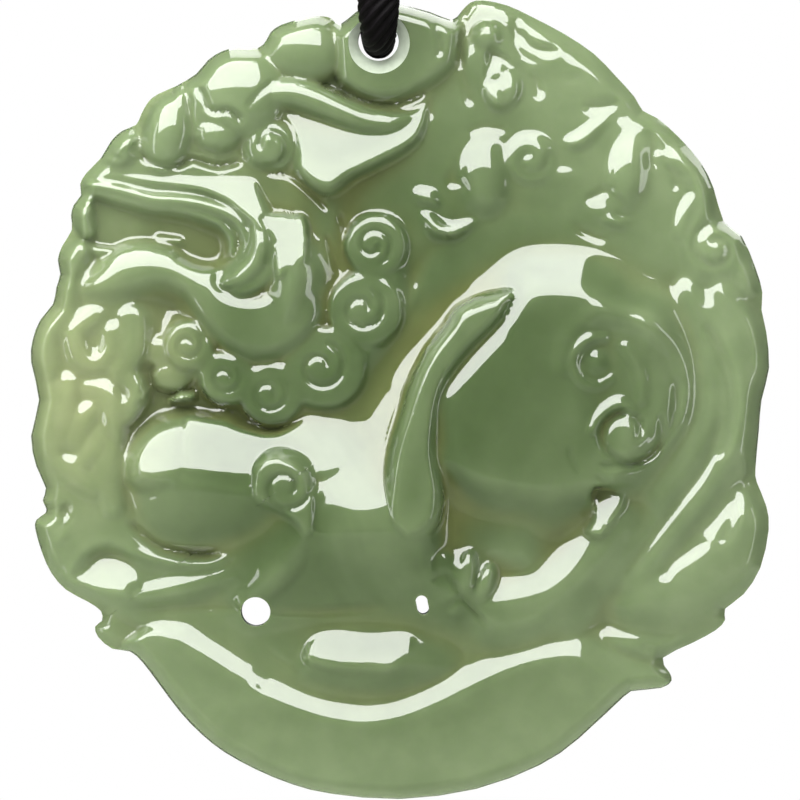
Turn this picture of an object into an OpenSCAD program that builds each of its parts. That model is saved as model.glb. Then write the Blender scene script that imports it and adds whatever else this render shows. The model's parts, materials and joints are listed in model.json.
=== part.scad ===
/* [Carved jade] */
// Width of the carved disc
jade_w = 55.4; // [50:0.2:62]
// Height of the carved disc
jade_h = 60; // [54:0.2:66]
// Height of the deepest carved form above the middle plane
front_rise = 7.2; // [5:0.1:9]
// Height of the plain back behind the middle plane
back_rise = 4; // [3:0.1:6]
// Distance of the cord hole's centre below the top edge
hole_drop = 3.1; // [2.9:0.1:3.6]
// Distance of the cord hole's centre left of the disc's middle
hole_left = 1.6; // [0:0.1:4]
// Width of the bevelled lip round the front of the cord hole
hole_lip = 0.8; // [0.3:0.1:1]
// Diameter of the small round piercing over the ingot
piercing_d = 2.2; // [1.4:0.1:2.8]
// Diameter of the two drillings that make the slit beside the paw
slit_d = 0.9; // [0.6:0.1:1.2]

/* [Cord] */
// Thickness of the braided cord
cord_d = 2.6; // [2:0.1:2.8]
// Gap between the cord and the wall of its hole
cord_gap = 0.22; // [0.1:0.02:0.5]
// Diameter of the knot that closes the cord
knot_d = 5.4; // [4:0.1:7]
// Length of the knot along the cord
knot_l = 5; // [4:0.1:6]

/* [Hidden] */

// Height of the hole's centre, where the cord's route crosses the jade
hole_z = -44;
hole_d = cord_d + 2 * cord_gap;
// Middle of the disc, seen from the hanging point inside the loop's top bend
jade_x = hole_left;
jade_z = hole_z + hole_drop - jade_h / 2;
round_sides = 48;

// The relief is drawn in hundredths of the disc's half height, from its middle.
// The same tables stretch with the width, the height and the rise of the front.
table_w = 92.4;
table_h = 100;
table_rise = 27;
unit_x = jade_w / 2 / table_w;
unit_z = jade_h / 2 / table_h;
unit_y = front_rise / table_rise;

// Middle of the round piercing and of the slit's two drillings, in table units
piercing_at = [-36, -52.8];
slit_at = [[5.4, -50.2], [5.8, -52]];

// Rings of the front mesh, and the shares of the radius at which the back has a ring
rings = 36;
back_rings = [0.93, 0.78, 0.45];
// Width of the rolled edge
edge_w = 4.5;
// Height of the crown at the rim and its further rise in the middle; the deepest
// ground lies under the crown, and nothing is cut lower than the least height
crown_foot = 7;
crown_rise = 8;
ground = -7;
least_height = 3;
// Flatness of the back at its edge, and the share of its rise that is crowned
back_power = 6;
back_crown = 0.28;

// Kinds of form: a PLATE is a closed edge with a raised inside, a DOME is an oval
// bump, and a ROLL is a ridge along an open line.
PLATE = 0;
DOME = 1;
ROLL = 2;
// How a form joins what lies under it: the higher of the two, in its place, or on top
RAISE = 0;
SET = 1;
ADD = 2;
// Cross-section of a plate's shoulder
ROUND = 0;
SMOOTH = 1;
RAMP = 2;
CRISP = 3;
// Columns of the rows below. Lengths and heights are in table units, turns in degrees,
// and a lean is [across, up, rise per unit across, rise per unit up], or 0.
// [PLATE, join, section, foot, rise, shoulder, lean, edge of [across, up]]
// [DOME, join, middle, radii, turn, foot, rise]
// [ROLL, join, foot, line of [across, up, half width, rise]]
KIND = 0;
JOIN = 1;
PLATE_SECTION = 2;
PLATE_FOOT = 3;
PLATE_RISE = 4;
PLATE_SHOULDER = 5;
PLATE_LEAN = 6;
PLATE_EDGE = 7;
DOME_MIDDLE = 2;
DOME_RADII = 3;
DOME_TURN = 4;
DOME_FOOT = 5;
DOME_RISE = 6;
ROLL_FOOT = 2;
ROLL_LINE = 3;
HALF_WIDTH = 2;
LINE_RISE = 3;

// Outline of the disc, clockwise from the cord hole: [across, up]
outline = [
    [-2, 99.3], [7.5, 97], [13, 95], [15.5, 97.3], [17.7, 99.4], [21, 99.9], [27, 98.6], [33, 95.8],
    [41, 91.6], [48.5, 86.6], [54, 81], [58.7, 75.8], [60.8, 72.3], [64.5, 70.4], [70, 65.5],
    [75.3, 59.3], [78.5, 53], [81, 44.7], [85.5, 41], [89, 33], [90.7, 27], [90.5, 22.5], [91.7, 17],
    [92.4, 8], [90.5, 0], [89.8, -8], [89, -17], [89.3, -20.5], [91.7, -26.5], [92.3, -32.5],
    [90.2, -42], [86, -48.6], [81.4, -52.2], [81.4, -55], [79, -57.6], [73.3, -60.7], [65.8, -64.5],
    [67.4, -68], [68, -70.2], [65.5, -72], [59, -72.7], [56, -74.2], [44.7, -84.7], [35, -91.3],
    [19, -97.3], [0, -99.8], [-17, -98.5], [-26.7, -96.2], [-36, -92.4], [-44, -88], [-49.7, -83.5],
    [-55, -78], [-60.5, -70.7], [-64.3, -65.7], [-67.5, -62.9], [-72, -62.2], [-75.5, -59.3],
    [-76.3, -56.7], [-74.6, -55.2], [-74.8, -52.8], [-78, -50.5], [-83.5, -47.5], [-87.2, -43.3],
    [-89.5, -38.3], [-91.2, -32.5], [-91, -30], [-88.6, -28.2], [-88.7, -26.6], [-89.4, -25],
    [-88.6, -22], [-91, -16.5], [-92.3, -9], [-90.3, 0], [-92.3, 9.5], [-91.9, 15], [-90, 20],
    [-86.8, 24], [-86, 28], [-85, 31.5], [-85.6, 35], [-84.5, 38.5], [-82.1, 42.5], [-82.3, 46],
    [-81.6, 48.8], [-79.8, 51.2], [-80, 54], [-78.5, 56.7], [-74.8, 60.5], [-72.3, 64.7],
    [-69.5, 67.3], [-66, 68.8], [-64.8, 71.3], [-63, 74.5], [-60.5, 76.5], [-56, 78.5], [-51, 81.5],
    [-48, 85], [-44.5, 87.2], [-41, 88], [-35.5, 88], [-33.4, 90], [-32.3, 92], [-29.7, 93.8],
    [-24, 95.5], [-20, 96], [-17, 95.4], [-14.8, 94], [-11, 97], [-7.5, 98.8]];

// Broad lobes at the top right, with the small dish of two ovals
top_lobes = [
    [PLATE, RAISE, ROUND, -6, 5, 7, 0, [
        [14, 99], [20, 103], [34, 99], [50, 88], [60, 76], [58, 70], [44, 68], [34, 72], [24, 70],
        [16, 72], [13, 84]]],
    [DOME, RAISE, [20, 92], [6, 10], -15, -4, 7],
    [DOME, RAISE, [34, 92], [7, 6], -20, -4, 6.5],
    [DOME, RAISE, [45, 82], [12, 6.5], -28, -4, 6],
    [DOME, RAISE, [35, 78], [4.5, 7], 15, -3, 5],
    [PLATE, SET, SMOOTH, -3, 1, 2, [25, 80, 0, -0.5], [
        [22.3, 87.5], [26.3, 85.8], [29, 82], [30.3, 78.5], [28.3, 74.3], [25, 72.8], [22.3, 74.2],
        [20.7, 78], [21.6, 83]]],
];
// Plain ground between the mane and the right rim
neck_ground = [
    [PLATE, RAISE, ROUND, -6, 3.5, 8, 0, [
        [-12, 80], [4, 84], [16, 88], [30, 86], [44, 80], [56, 74], [66, 68], [76, 55], [82, 44],
        [86, 36], [80, 26], [66, 28], [52, 38], [38, 44], [24, 44], [10, 36], [-4, 24], [-14, 40]]],
];
// Small young beast right of the mane, with its horn and a leaf
small_beast = [
    [DOME, RAISE, [20, 57], [8.5, 9.5], 0, -4, 9],
    [DOME, RAISE, [15, 47], [9, 7.5], -10, -4, 7],
    [DOME, RAISE, [32.5, 60], [6.5, 6.5], 0, -4, 6.5],
    [PLATE, RAISE, RAMP, -2.5, 2.5, 2.2, [12, 44, 0, -0.45], [
        [3.6, 48.3], [6, 48.4], [8.4, 47.2], [10.4, 44.6], [12.8, 43.8], [16, 44.4], [21.5, 46.6],
        [17.5, 42.8], [14, 40.6], [11, 40.4], [8, 41], [6, 43.2], [4.4, 45.6]]],
    [PLATE, RAISE, SMOOTH, -4.5, 3, 2, [46, 66, 0.1, -0.5], [
        [39, 64.6], [43, 62.6], [47, 63.6], [51, 67.4], [55, 70.8], [51, 71.6], [47, 69.4], [44, 66.6],
        [41, 65.2]]],
    [PLATE, RAISE, ROUND, -5, 4.5, 6, 0, [
        [34, 66], [38, 63], [45, 62], [50, 60], [51, 54], [46, 50], [38, 49], [32, 51], [27, 54],
        [28, 58]]],
];
// Round lobe, leaf eye and rim curl at the right
right_lobe = [
    [PLATE, RAISE, ROUND, -5.5, 9.5, 11, [58, 58, -0.02, 0.05], [
        [60, 72.5], [55, 69.6], [52.2, 65], [50.6, 60], [50.8, 55], [53.3, 50.5], [58, 47.3], [64, 46],
        [69, 49], [73, 55], [74, 61], [69, 68], [64, 71.5]]],
    [ROLL, RAISE, -2.5, [
        [70, 60, 2, 2], [75, 55.5, 2.4, 3], [76, 50, 2.2, 3], [74.5, 44, 2.4, 3], [73, 38, 2.4, 3],
        [75, 32, 2, 2]]],
    [ROLL, RAISE, -3, [
        [74, 51, 1.4, 1.8], [71.5, 46.5, 1.6, 2.2], [70, 42, 1.4, 1.8]]],
    [PLATE, RAISE, ROUND, -5, 4.6, 3, 0, [
        [45, 50], [49, 51.6], [52, 52.4], [56.4, 49], [60.8, 46.4], [57, 43.6], [52, 42.8], [46, 43],
        [43.5, 45.5]]],
    [PLATE, RAISE, SMOOTH, -3, 2.6, 1.6, [54, 45, 0, -0.4], [
        [49.6, 44.6], [51.6, 47], [54.4, 45.8], [58, 45.4], [61, 46.6], [58, 43.9], [54, 43.2]]],
    [DOME, RAISE, [52.5, 48.6], [4.6, 2.2], -10, -3, 3],
    [DOME, RAISE, [79, 37.5], [8.5, 8.5], 0, -5, 7.5],
    [DOME, RAISE, [87, 31], [4.5, 5], 20, -4, 5.5],
];
// Tail strands that follow the right rim, and the lobe at their foot
tail = [
    [PLATE, RAISE, ROUND, -5.5, 5, 6, 0, [
        [70, 28], [78, 30], [86, 28], [94, 20], [95, 0], [93, -16], [88, -22], [82, -30], [74, -38],
        [62, -46], [52, -54], [48, -50], [52, -40], [60, -28], [68, -18], [76, -4], [77, 8], [74, 18]]],
    [ROLL, RAISE, -2, [
        [73, 26, 2.5, 3], [76.5, 18, 3, 4], [78, 8, 3.2, 4.2], [77.5, -4, 3.2, 4], [73, -14, 3.4, 4],
        [66, -24, 3.6, 4], [59, -34, 3.4, 4], [53, -44, 3, 3.5]]],
    [ROLL, RAISE, -1.6, [
        [77, 22, 2, 3], [81.5, 15, 3.2, 4.5], [84.5, 4, 3.6, 5], [84, -7, 3.2, 4.5], [80, -17, 2.6, 4],
        [74, -26, 2.6, 4], [66, -36, 2.6, 3.6], [59, -46, 2.4, 3]]],
    [ROLL, RAISE, -2.2, [
        [78, 26, 2.4, 3], [84, 19, 2.8, 4], [88.5, 9, 2.6, 3.6], [89, -2, 2.2, 3], [87.5, -12, 2, 2.5]]],
    [ROLL, RAISE, -3, [
        [87, 25, 2, 3], [91, 16, 2.2, 3.4], [92, 8, 2, 3]]],
    [PLATE, RAISE, ROUND, -5, 6.5, 9, 0, [
        [88, -22], [94, -30], [91, -43], [85, -50], [74, -57], [62, -58], [54, -54], [56, -46],
        [64, -39], [74, -31], [82, -22]]],
    [ROLL, RAISE, -0.4, [
        [80, -24, 2.2, 3], [77.5, -32, 2.4, 3.4], [70, -39, 2.6, 3.4], [65, -46, 2.4, 3]]],
    [PLATE, RAISE, ROUND, -5.5, 5.5, 5, 0, [
        [50, -54], [58, -55], [70, -58], [80, -54], [84, -56], [78, -62], [66, -65], [56, -64],
        [46, -59]]],
];
// Boat-shaped ingot: outer wall with a rising slope along its rim, inner floor and middle ball
ingot = [
    [PLATE, RAISE, RAMP, -4.4, 5, 5.4, [0, -80, 0, 0.03], [
        [-64, -55], [-60, -54.8], [-56, -55.2], [-50, -57.3], [-45, -61.5], [-38, -66.3], [-30, -70.7],
        [-20, -74.4], [-12, -76], [-7, -76.1], [0, -74.8], [8, -71.6], [16, -67.6], [24, -63.8],
        [30, -61.6], [36, -60], [42, -59.4], [47.5, -60.3], [58, -65], [69, -68.5], [70, -76],
        [40, -100], [0, -108], [-40, -100], [-70, -75], [-80, -62], [-78, -55]]],
    [PLATE, RAISE, SMOOTH, -5.5, 0.6, 3, [0, -60, 0, 0.02], [
        [-76, -51], [-50, -48], [-20, -48], [10, -50], [30, -54], [50, -57], [30, -59], [8, -69],
        [-7, -74], [-20, -72.5], [-38, -64], [-52, -55]]],
    [PLATE, RAISE, ROUND, -6, 8, 15, [-8, -66, 0, -0.05], [
        [-36, -60], [-33, -63], [-28, -66.8], [-20, -71], [-14, -72.8], [-7, -73.5], [0, -73],
        [6, -71.5], [12, -68.8], [16, -65.3], [16, -63.5], [12, -59], [8, -54], [0, -52], [-20, -53],
        [-33, -54]]],
];
// Cloud under the front foot, at the left end of the ingot
foot_cloud = [
    [PLATE, RAISE, ROUND, -5, 6.5, 12, [-80, -45, 0, -0.02], [
        [-92, -27], [-88, -23], [-80, -21], [-70, -27], [-64, -33], [-50, -39], [-38, -40],
        [-44, -43.6], [-52, -46.8], [-60, -49.5], [-68, -50.8], [-76, -50.5], [-84, -50], [-92, -40]]],
    [PLATE, ADD, SMOOTH, 0, -6.5, 8, 0, [
        [-83, -45.5], [-79, -40], [-76, -36.6], [-73, -36], [-68, -38.4], [-64, -40], [-52, -40],
        [-40, -38.5], [-42, -41], [-46, -43], [-52, -45.2], [-60, -47.7], [-68, -49], [-75, -48.3]]],
];
// Curled locks down the left rim
chest_locks = [
    [PLATE, RAISE, ROUND, -6, 5.5, 9, 0, [
        [-86, 44], [-87, 24], [-94, 16], [-94, 6], [-91, 0], [-94, -8], [-92, -18], [-89, -25],
        [-70, -30], [-66, -20], [-62, 0], [-56, 22], [-70, 34], [-80, 42]]],
    [ROLL, RAISE, -1.2, [
        [-80, 37, 2.4, 2.4], [-84, 31, 3, 3.2], [-84, 25, 3, 3]]],
    [ROLL, RAISE, -1.2, [
        [-84, 42, 2, 2], [-84.6, 37, 2.2, 2.4], [-82, 33, 2, 2]]],
    [ROLL, RAISE, -1.2, [
        [-84, 22, 3, 2.6], [-89, 16, 3.6, 3.6], [-88.5, 8, 3, 3]]],
    [ROLL, RAISE, -1.2, [
        [-76, 21, 2.4, 2.4], [-81, 17, 2.6, 3.4], [-80, 11, 2.6, 3.6], [-76, 8.6, 2.2, 3],
        [-72.4, 12, 2.2, 3], [-72, 17, 2, 2.4]]],
    [ROLL, RAISE, -1.2, [
        [-86, 8, 1.6, 2], [-81.5, 8, 2, 2.6], [-78, 6, 1.8, 2]]],
    [ROLL, RAISE, -1.2, [
        [-67, 20, 3, 2.4], [-67, 13, 3.4, 3], [-70, 7, 2.6, 2.4]]],
    [ROLL, RAISE, -1.2, [
        [-88, 2, 2.4, 2.4], [-89.5, -5, 3.4, 3.4], [-87.5, -13, 2.8, 2.8]]],
    [ROLL, RAISE, -1.2, [
        [-83, 4, 2.2, 2.4], [-84, -3, 2.8, 3], [-86, -11, 2.4, 2.4]]],
    [ROLL, RAISE, -1.2, [
        [-77, 3, 1.8, 2.2], [-73, 1.5, 2.4, 3.4], [-71.6, -4, 2.4, 3.6], [-71, -9, 2, 2.6]]],
    [ROLL, RAISE, -1.2, [
        [-75, -1, 1.8, 2.2], [-79, -5, 2.6, 3], [-81, -10, 2.2, 2.4]]],
    [ROLL, RAISE, -1.2, [
        [-67, 5, 2.4, 2.6], [-65.5, 1, 2.2, 3], [-68.4, -4, 1.8, 2.4]]],
    [ROLL, RAISE, -1.2, [
        [-74, -8, 1.8, 2.2], [-76, -12, 2.4, 2.8], [-80, -16, 2, 2.2]]],
    [ROLL, RAISE, -1.2, [
        [-86, -15, 2, 2.4], [-82, -18, 2.6, 2.8], [-77, -22, 2, 2.4]]],
    [ROLL, RAISE, -1.2, [
        [-72, -12, 2.4, 2.4], [-73, -19, 3, 2.8], [-72, -26, 2.4, 2]]],
    [DOME, RAISE, [-76.4, 14.8], [2.4, 4.4], 8, -1.5, 3.4],
];
// Back and haunch, one long form, and the slope of the neck
body = [
    [PLATE, RAISE, ROUND, -6.5, 12.5, 19, 0, [
        [-30, 1], [-22, 2], [-14, 1], [-8, 4], [-3, 10], [3, 19], [9, 27], [16, 34], [25, 40.5],
        [37, 43.5], [50, 41], [57, 34], [66, 28], [73, 20], [77, 6], [74, -8], [66, -18], [56, -24],
        [42, -31], [24, -34], [4, -40], [-20, -46], [-36, -40], [-40, -20], [-36, -6]]],
    [PLATE, ADD, SMOOTH, 0, 0.6, 6, [-12, 4, 0.1, -0.22], [
        [-34, 3], [-24, 4], [-14, 3], [-6, 8], [2, 19], [10, 29], [20, 38], [30, 36], [26, 24],
        [16, 14], [8, 2], [4, -10], [0, -22], [-6, -26], [-16, -31], [-26, -28], [-36, -12]]],
];
// Soft lens under the haunch
haunch_lens = [
    [PLATE, ADD, SMOOTH, 0, -1.6, 3, [28, -21, 0, 0.14], [
        [8, -11], [12, -13.6], [17, -17.4], [22, -19.6], [29, -20.8], [38, -21.6], [50, -22],
        [42, -25.5], [35, -28.8], [28, -30], [21, -29], [15, -25.5], [11, -20], [8.6, -15]]],
];
// Ring ridge with two scrolls behind the haunch
scroll_ring = [
    [PLATE, ADD, SMOOTH, 0, -3.2, 7, 0, [
        [39, 8], [40, 14], [43, 19], [47, 22.6], [52, 24.3], [58, 24], [64, 21], [69, 15], [72, 8],
        [73, 2], [70.5, -6], [66, -12.5], [60, -16.3], [54, -16.8], [47, -14], [43, -8], [42, 0]]],
    [DOME, ADD, [67, 5], [4.5, 10], 10, 0, -3],
    [ROLL, ADD, 0, [
        [40.5, 8, 2, 2.2], [41.5, 13.6, 2.2, 2.4], [45, 18.6, 2.4, 2.6], [50.5, 21.6, 2.6, 2.8],
        [57, 22, 2.8, 2.8], [63.5, 19, 2.8, 2.8], [68.5, 13, 2.6, 2.6], [71.5, 5, 2.4, 2.4],
        [71, -3, 2.2, 2.2], [66.5, -10, 2, 2]]],
    [ROLL, ADD, 0, [
        [50.8, 15.6, 1.2, 1.2], [47.2, 15, 1.7, 1.6], [44.4, 12.2, 1.8, 1.8], [43.4, 8.6, 1.8, 1.8],
        [45, 5, 1.8, 1.8], [49, 3.6, 1.6, 1.6], [52.5, 5.4, 1.2, 1.2]]],
    [DOME, ADD, [48.8, 9.4], [3.6, 4.4], -10, 0, 2.6],
    [ROLL, ADD, 0, [
        [56, 13, 1.4, 1.6], [58.4, 9.5, 1.6, 2], [60, 5, 1.4, 1.8], [60, 0, 1.2, 1.4],
        [60.6, -6, 1.2, 1.4]]],
    [DOME, ADD, [56.5, -8.5], [5.4, 6.2], 0, 0, 3],
    [ROLL, ADD, 0, [
        [48, -7.5, 1.2, 1.4], [50.6, -3.4, 1.6, 2.2], [54.6, -1, 1.7, 2.4], [57.6, -3, 1.5, 2]]],
];
// Hind leg and its paw
hind_leg = [
    [PLATE, RAISE, ROUND, -5, 9, 9, [40, -40, 0, -0.06], [
        [48, -20.5], [57, -22.6], [57, -27], [53, -33], [46.5, -41], [38, -49], [31, -54], [25, -55.4],
        [19, -53], [17, -47], [21, -42.3], [30, -40.8], [37, -39], [43, -34], [47.5, -28], [49, -24]]],
    [DOME, RAISE, [14.5, -46], [10, 10.5], 0, -5, 9],
    [DOME, RAISE, [16.6, -42], [3.4, 6.4], -8, -1, 6.2],
    [DOME, RAISE, [20.6, -43.5], [2.6, 5], -25, -1, 4.6],
    [DOME, RAISE, [11, -41], [3.2, 4.6], 15, -1, 5],
];
// Belly under the flank
belly = [
    [PLATE, RAISE, CRISP, -5, 8.5, 5, [-10, -35, 0, -0.02], [
        [-23, -29], [-19.3, -27.2], [-15, -27.4], [-8, -22.8], [-3.8, -20.6], [2, -16], [8, -14],
        [12, -20], [16, -28], [12, -36], [4, -44], [-8, -49], [-24, -50], [-36, -47], [-34, -38],
        [-28, -32]]],
];
// Shoulder and upper forearm
shoulder = [
    [PLATE, RAISE, ROUND, -4, 11, 16, [-45, -20, 0, -0.12], [
        [-67.5, -11], [-64, -5.5], [-57, -1.2], [-50, -0.8], [-42, -2.6], [-35, -4.4], [-30, -5],
        [-24, -12], [-21, -22], [-22, -31], [-30, -37.2], [-42, -38.6], [-52, -39.2], [-60, -37],
        [-66, -31], [-70, -20]]],
    [PLATE, RAISE, SMOOTH, -2, 2, 1.2, [0, 0, 0, -0.2], [
        [-58, -0.5], [-55, 2], [-51.5, 2], [-51, 0], [-54, -0.6]]],
];
// Knee scroll and its stem
knee_scroll = [
    [ROLL, RAISE, -0.5, [
        [-22, -30, 4, 4], [-25, -36, 5.6, 5], [-31, -42, 5.6, 4.6], [-38, -47, 4, 3]]],
    [PLATE, RAISE, CRISP, -1, 7.6, 3.2, 0, [
        [-38.6, -19], [-37.6, -15], [-34.6, -12.2], [-30.6, -11.6], [-27, -12.2], [-23.6, -14.2],
        [-21, -17.6], [-19.6, -22], [-19, -28], [-19.6, -33], [-24, -34], [-30, -33], [-35, -30],
        [-38, -25]]],
];
// Leaf-shaped wing blade
leaf_blade = [
    [PLATE, RAISE, CRISP, -1, 8.5, 3.6, [10, 0, 0.05, 0], [
        [29, 25.8], [27.6, 27.2], [24, 26.7], [19, 25.3], [14, 22.7], [9, 18.3], [4, 12.2], [1, 5.6],
        [-1.5, -3], [-3.2, -12], [-4.4, -21], [-4, -30], [2, -36], [9, -32], [11, -24], [9.8, -14],
        [10, -8], [10.8, -2], [12.2, 3], [14.8, 7.4], [18.8, 12.2], [23.8, 17.2], [26.8, 21], [28, 24]]],
    [ROLL, ADD, 0, [
        [27, 25, 1.2, 0.8], [19, 21, 2.6, 1.4], [10, 13, 3.2, 1.8], [4, 2, 3.4, 1.8],
        [2, -12, 3.6, 1.6], [3, -26, 3.4, 1]]],
];
// Mane curls round the cheek
mane = [
    [DOME, RAISE, [-6, 38.5], [7.6, 7.6], 0, -3.5, 8],
    [DOME, RAISE, [-8.6, 22.4], [9.4, 9.4], 0, -3.5, 8.5],
    [DOME, RAISE, [-18.8, 8], [10.4, 10.4], 0, -3.5, 9],
    [DOME, RAISE, [-32, 1.4], [8, 8], 0, -3.5, 8],
    [DOME, RAISE, [-43, 5.4], [6.8, 6.8], 0, -3.5, 7],
    [DOME, RAISE, [-52.4, 13.6], [6.2, 6.2], 0, -3.5, 7],
    [DOME, RAISE, [-4, 31], [5, 4], 0, -4, 5],
    [DOME, RAISE, [-57, 6], [5, 4], 0, -4, 4.6],
    [DOME, RAISE, [3, 24], [3, 8], -25, -4.5, 4],
    [DOME, RAISE, [-8, 10], [3, 8], -20, -4.5, 3.6],
];
// Mass of the head
head_mass = [
    [PLATE, RAISE, ROUND, -6, 4.6, 6, 0, [
        [-80, 60], [-74, 64], [-66, 71], [-58, 79], [-50, 85], [-42, 89], [-34, 88], [-26, 80],
        [-14, 70], [-6, 58], [-12, 46], [-12.5, 32], [-18, 21], [-25, 11], [-36, 8.5], [-44, 11],
        [-50, 17], [-55, 24], [-68, 23], [-80, 27], [-81, 33], [-76, 38], [-84, 44], [-82, 52]]],
];
// Jaw, chin and cheek
jaw_cheek = [
    [PLATE, RAISE, ROUND, -5, 8.2, 8, 0, [
        [-81.5, 29], [-78, 33.2], [-74, 37], [-70, 39], [-64, 39.8], [-57, 38.8], [-52, 36.4],
        [-48, 34.8], [-44, 34], [-42, 30], [-36, 29], [-31.5, 31], [-27, 28], [-26, 21], [-26, 14],
        [-30, 9.6], [-36, 8.6], [-42, 10.6], [-47, 14.6], [-51, 19.6], [-54, 25], [-58, 27], [-64, 25],
        [-70, 24], [-77, 25], [-80.6, 27]]],
    [DOME, RAISE, [-24.5, 28], [12.5, 19.5], 6, -4, 10.5],
];
// Mouth hollow with tongue and front teeth
mouth = [
    [PLATE, SET, SMOOTH, -2.5, -6, 5, 0, [
        [-79, 51], [-70, 49.6], [-62, 47.6], [-55, 47], [-49, 45], [-44, 42.6], [-42.4, 38], [-43, 35],
        [-45, 33], [-49, 32.5], [-54, 34.2], [-58, 37], [-64, 38.2], [-70, 37.4], [-74, 35.4],
        [-79, 40], [-80, 46]]],
    [DOME, RAISE, [-65.5, 42.6], [6, 5.4], 0, -8, 6],
    [DOME, RAISE, [-49.5, 39], [6.6, 6], -20, -9, 5],
    [ROLL, RAISE, -2.6, [
        [-79.2, 49.2, 2.6, 4], [-79.4, 46, 3, 4.6], [-78, 42.4, 2.2, 3.6]]],
    [ROLL, RAISE, -4, [
        [-79, 38, 1.6, 2], [-75, 37, 1.6, 2], [-72.6, 37.2, 1.2, 1.6]]],
];
// Upper lip band and the rolls round the mouth corner
lip_rolls = [
    [PLATE, RAISE, CRISP, -4.5, 3, 1.5, [-60, 56, 0, -0.44], [
        [-80, 56.8], [-76.6, 58.8], [-70, 58.8], [-65, 57.4], [-60, 56.7], [-55, 57.1], [-50, 56.5],
        [-41, 56.5], [-33.6, 55.5], [-33.2, 50], [-32.6, 46], [-30.4, 44], [-33, 42.6], [-37, 43],
        [-40.6, 46], [-44, 48.6], [-50, 51], [-57, 52], [-66, 53.2], [-76, 54.6], [-80, 55]]],
    [ROLL, RAISE, -1.6, [
        [-78, 53.9, 0.9, 2], [-70, 52.3, 1.3, 2.6], [-62, 50.2, 1.3, 2.8], [-55, 49.7, 1.4, 3],
        [-48, 48.4, 1.6, 3.2], [-42, 46, 1.7, 3.4], [-38.9, 42.4, 1.7, 3.4], [-38.2, 38.6, 1.6, 3.2],
        [-40, 34.4, 1.5, 3], [-43.6, 31, 1.3, 2.4], [-46.4, 29.8, 0.9, 1.4]]],
    [ROLL, RAISE, -2.6, [
        [-79, 52.6, 1, 2], [-72, 50.9, 1.4, 2.6], [-63, 48.5, 1.4, 2.8], [-56, 47.8, 1.4, 2.8],
        [-49, 46, 1.5, 3], [-44.4, 43.9, 1.5, 3], [-41.8, 40.4, 1.3, 2.8], [-41.8, 36.6, 1.1, 2.4]]],
    [ROLL, RAISE, -0.6, [
        [-35.4, 43.4, 2, 2.6], [-34.6, 39, 2.6, 4], [-36, 34, 2.8, 4.2], [-40, 30.2, 2.4, 3.6],
        [-43.4, 29.2, 1.4, 2]]],
    [ROLL, RAISE, -0.4, [
        [-33.4, 42, 1.6, 2], [-31.4, 38, 1.8, 3], [-32, 33, 1.8, 3], [-35.4, 29, 1.8, 3],
        [-39.6, 27.2, 1.6, 2.6], [-42, 28, 1, 1.4]]],
];
// Nose, brow, eye socket and eyeball
snout_eye = [
    [DOME, RAISE, [-70, 64.3], [5.8, 6.2], -20, -4.5, 7.5],
    [DOME, RAISE, [-58, 67.5], [8.6, 11.5], -12, -4.5, 9.5],
    [ROLL, RAISE, -0.5, [
        [-55.4, 78, 1.2, 2], [-54.2, 71, 1.6, 3], [-53, 66, 1.3, 2]]],
    [ROLL, RAISE, -0.5, [
        [-52, 79, 1.3, 2], [-50.4, 72, 1.7, 3.2], [-50, 66, 1.3, 2]]],
    [DOME, RAISE, [-45, 62.8], [8.5, 5.2], 0, -4, 7.4],
    [DOME, RAISE, [-41.4, 74.6], [11.5, 12.5], 0, -4, 10.5],
    [PLATE, SET, SMOOTH, -4.5, 1, 3, 0, [
        [-51, 71.6], [-47.6, 72.6], [-45, 73], [-42, 72.4], [-39, 69.6], [-38.4, 65.4], [-42, 63],
        [-47, 62.6], [-51, 65]]],
    [DOME, RAISE, [-45, 67.2], [5.4, 4.3], 0, -2.6, 5.4],
];
// Ear with its rolled rim and base curl
ear = [
    [PLATE, RAISE, CRISP, -4.5, 5.5, 2.2, [-14, 66, 0, -0.42], [
        [-38, 72], [-35, 77], [-29, 80.4], [-23, 80.2], [-16, 77.4], [-9, 74], [-3, 72.8], [3, 73.8],
        [8, 77.4], [8.6, 72], [6.4, 65.6], [2, 61.6], [-5, 58], [-12, 54.6], [-17, 51.4], [-22, 52.6],
        [-26.4, 57], [-27, 62], [-28.4, 67], [-32, 70]]],
    [ROLL, RAISE, -2.4, [
        [-37, 69.5, 1.4, 2.6], [-35.6, 73.4, 2.6, 5], [-32, 76, 3.6, 6], [-27, 76.4, 4, 6.6],
        [-21, 74.6, 4, 6.4], [-15, 72, 3.8, 6], [-9, 69.6, 3.6, 5.4], [-3, 68.9, 3, 4.6],
        [1, 69.6, 2, 3.2], [3.6, 70.6, 1, 1.6]]],
    [DOME, RAISE, [-32.4, 63.4], [7.4, 7.2], 0, -3, 7.6],
];
// Cloud bump and the boss round the cord hole
cord_boss = [
    [PLATE, RAISE, ROUND, -5, 8.4, 9, 0, [
        [-36, 86.6], [-34, 92], [-27, 98], [-18, 99], [-14.6, 95], [-16.4, 88], [-17, 80.5], [-24, 81],
        [-31, 83.4]]],
    [PLATE, RAISE, ROUND, -4.5, 7.4, 4.5, [0, 86, 0, 0.05], [
        [-16, 99], [-16.4, 88], [-15.8, 80], [-14, 77.6], [-10, 75], [-4, 73.7], [2, 74.7], [7, 77.4],
        [12, 81], [14.8, 86], [14.8, 99], [0, 106]]],
];

// Every form of the relief, in the order in which it is carved over the one before
forms = concat(
    top_lobes, neck_ground, small_beast, right_lobe, tail, ingot, foot_cloud, chest_locks, body,
    haunch_lens, scroll_ring, hind_leg, belly, shoulder, knee_scroll, leaf_blade, mane,
    head_mass, jaw_cheek, mouth, lip_rolls, snout_eye, ear, cord_boss
);

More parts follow.
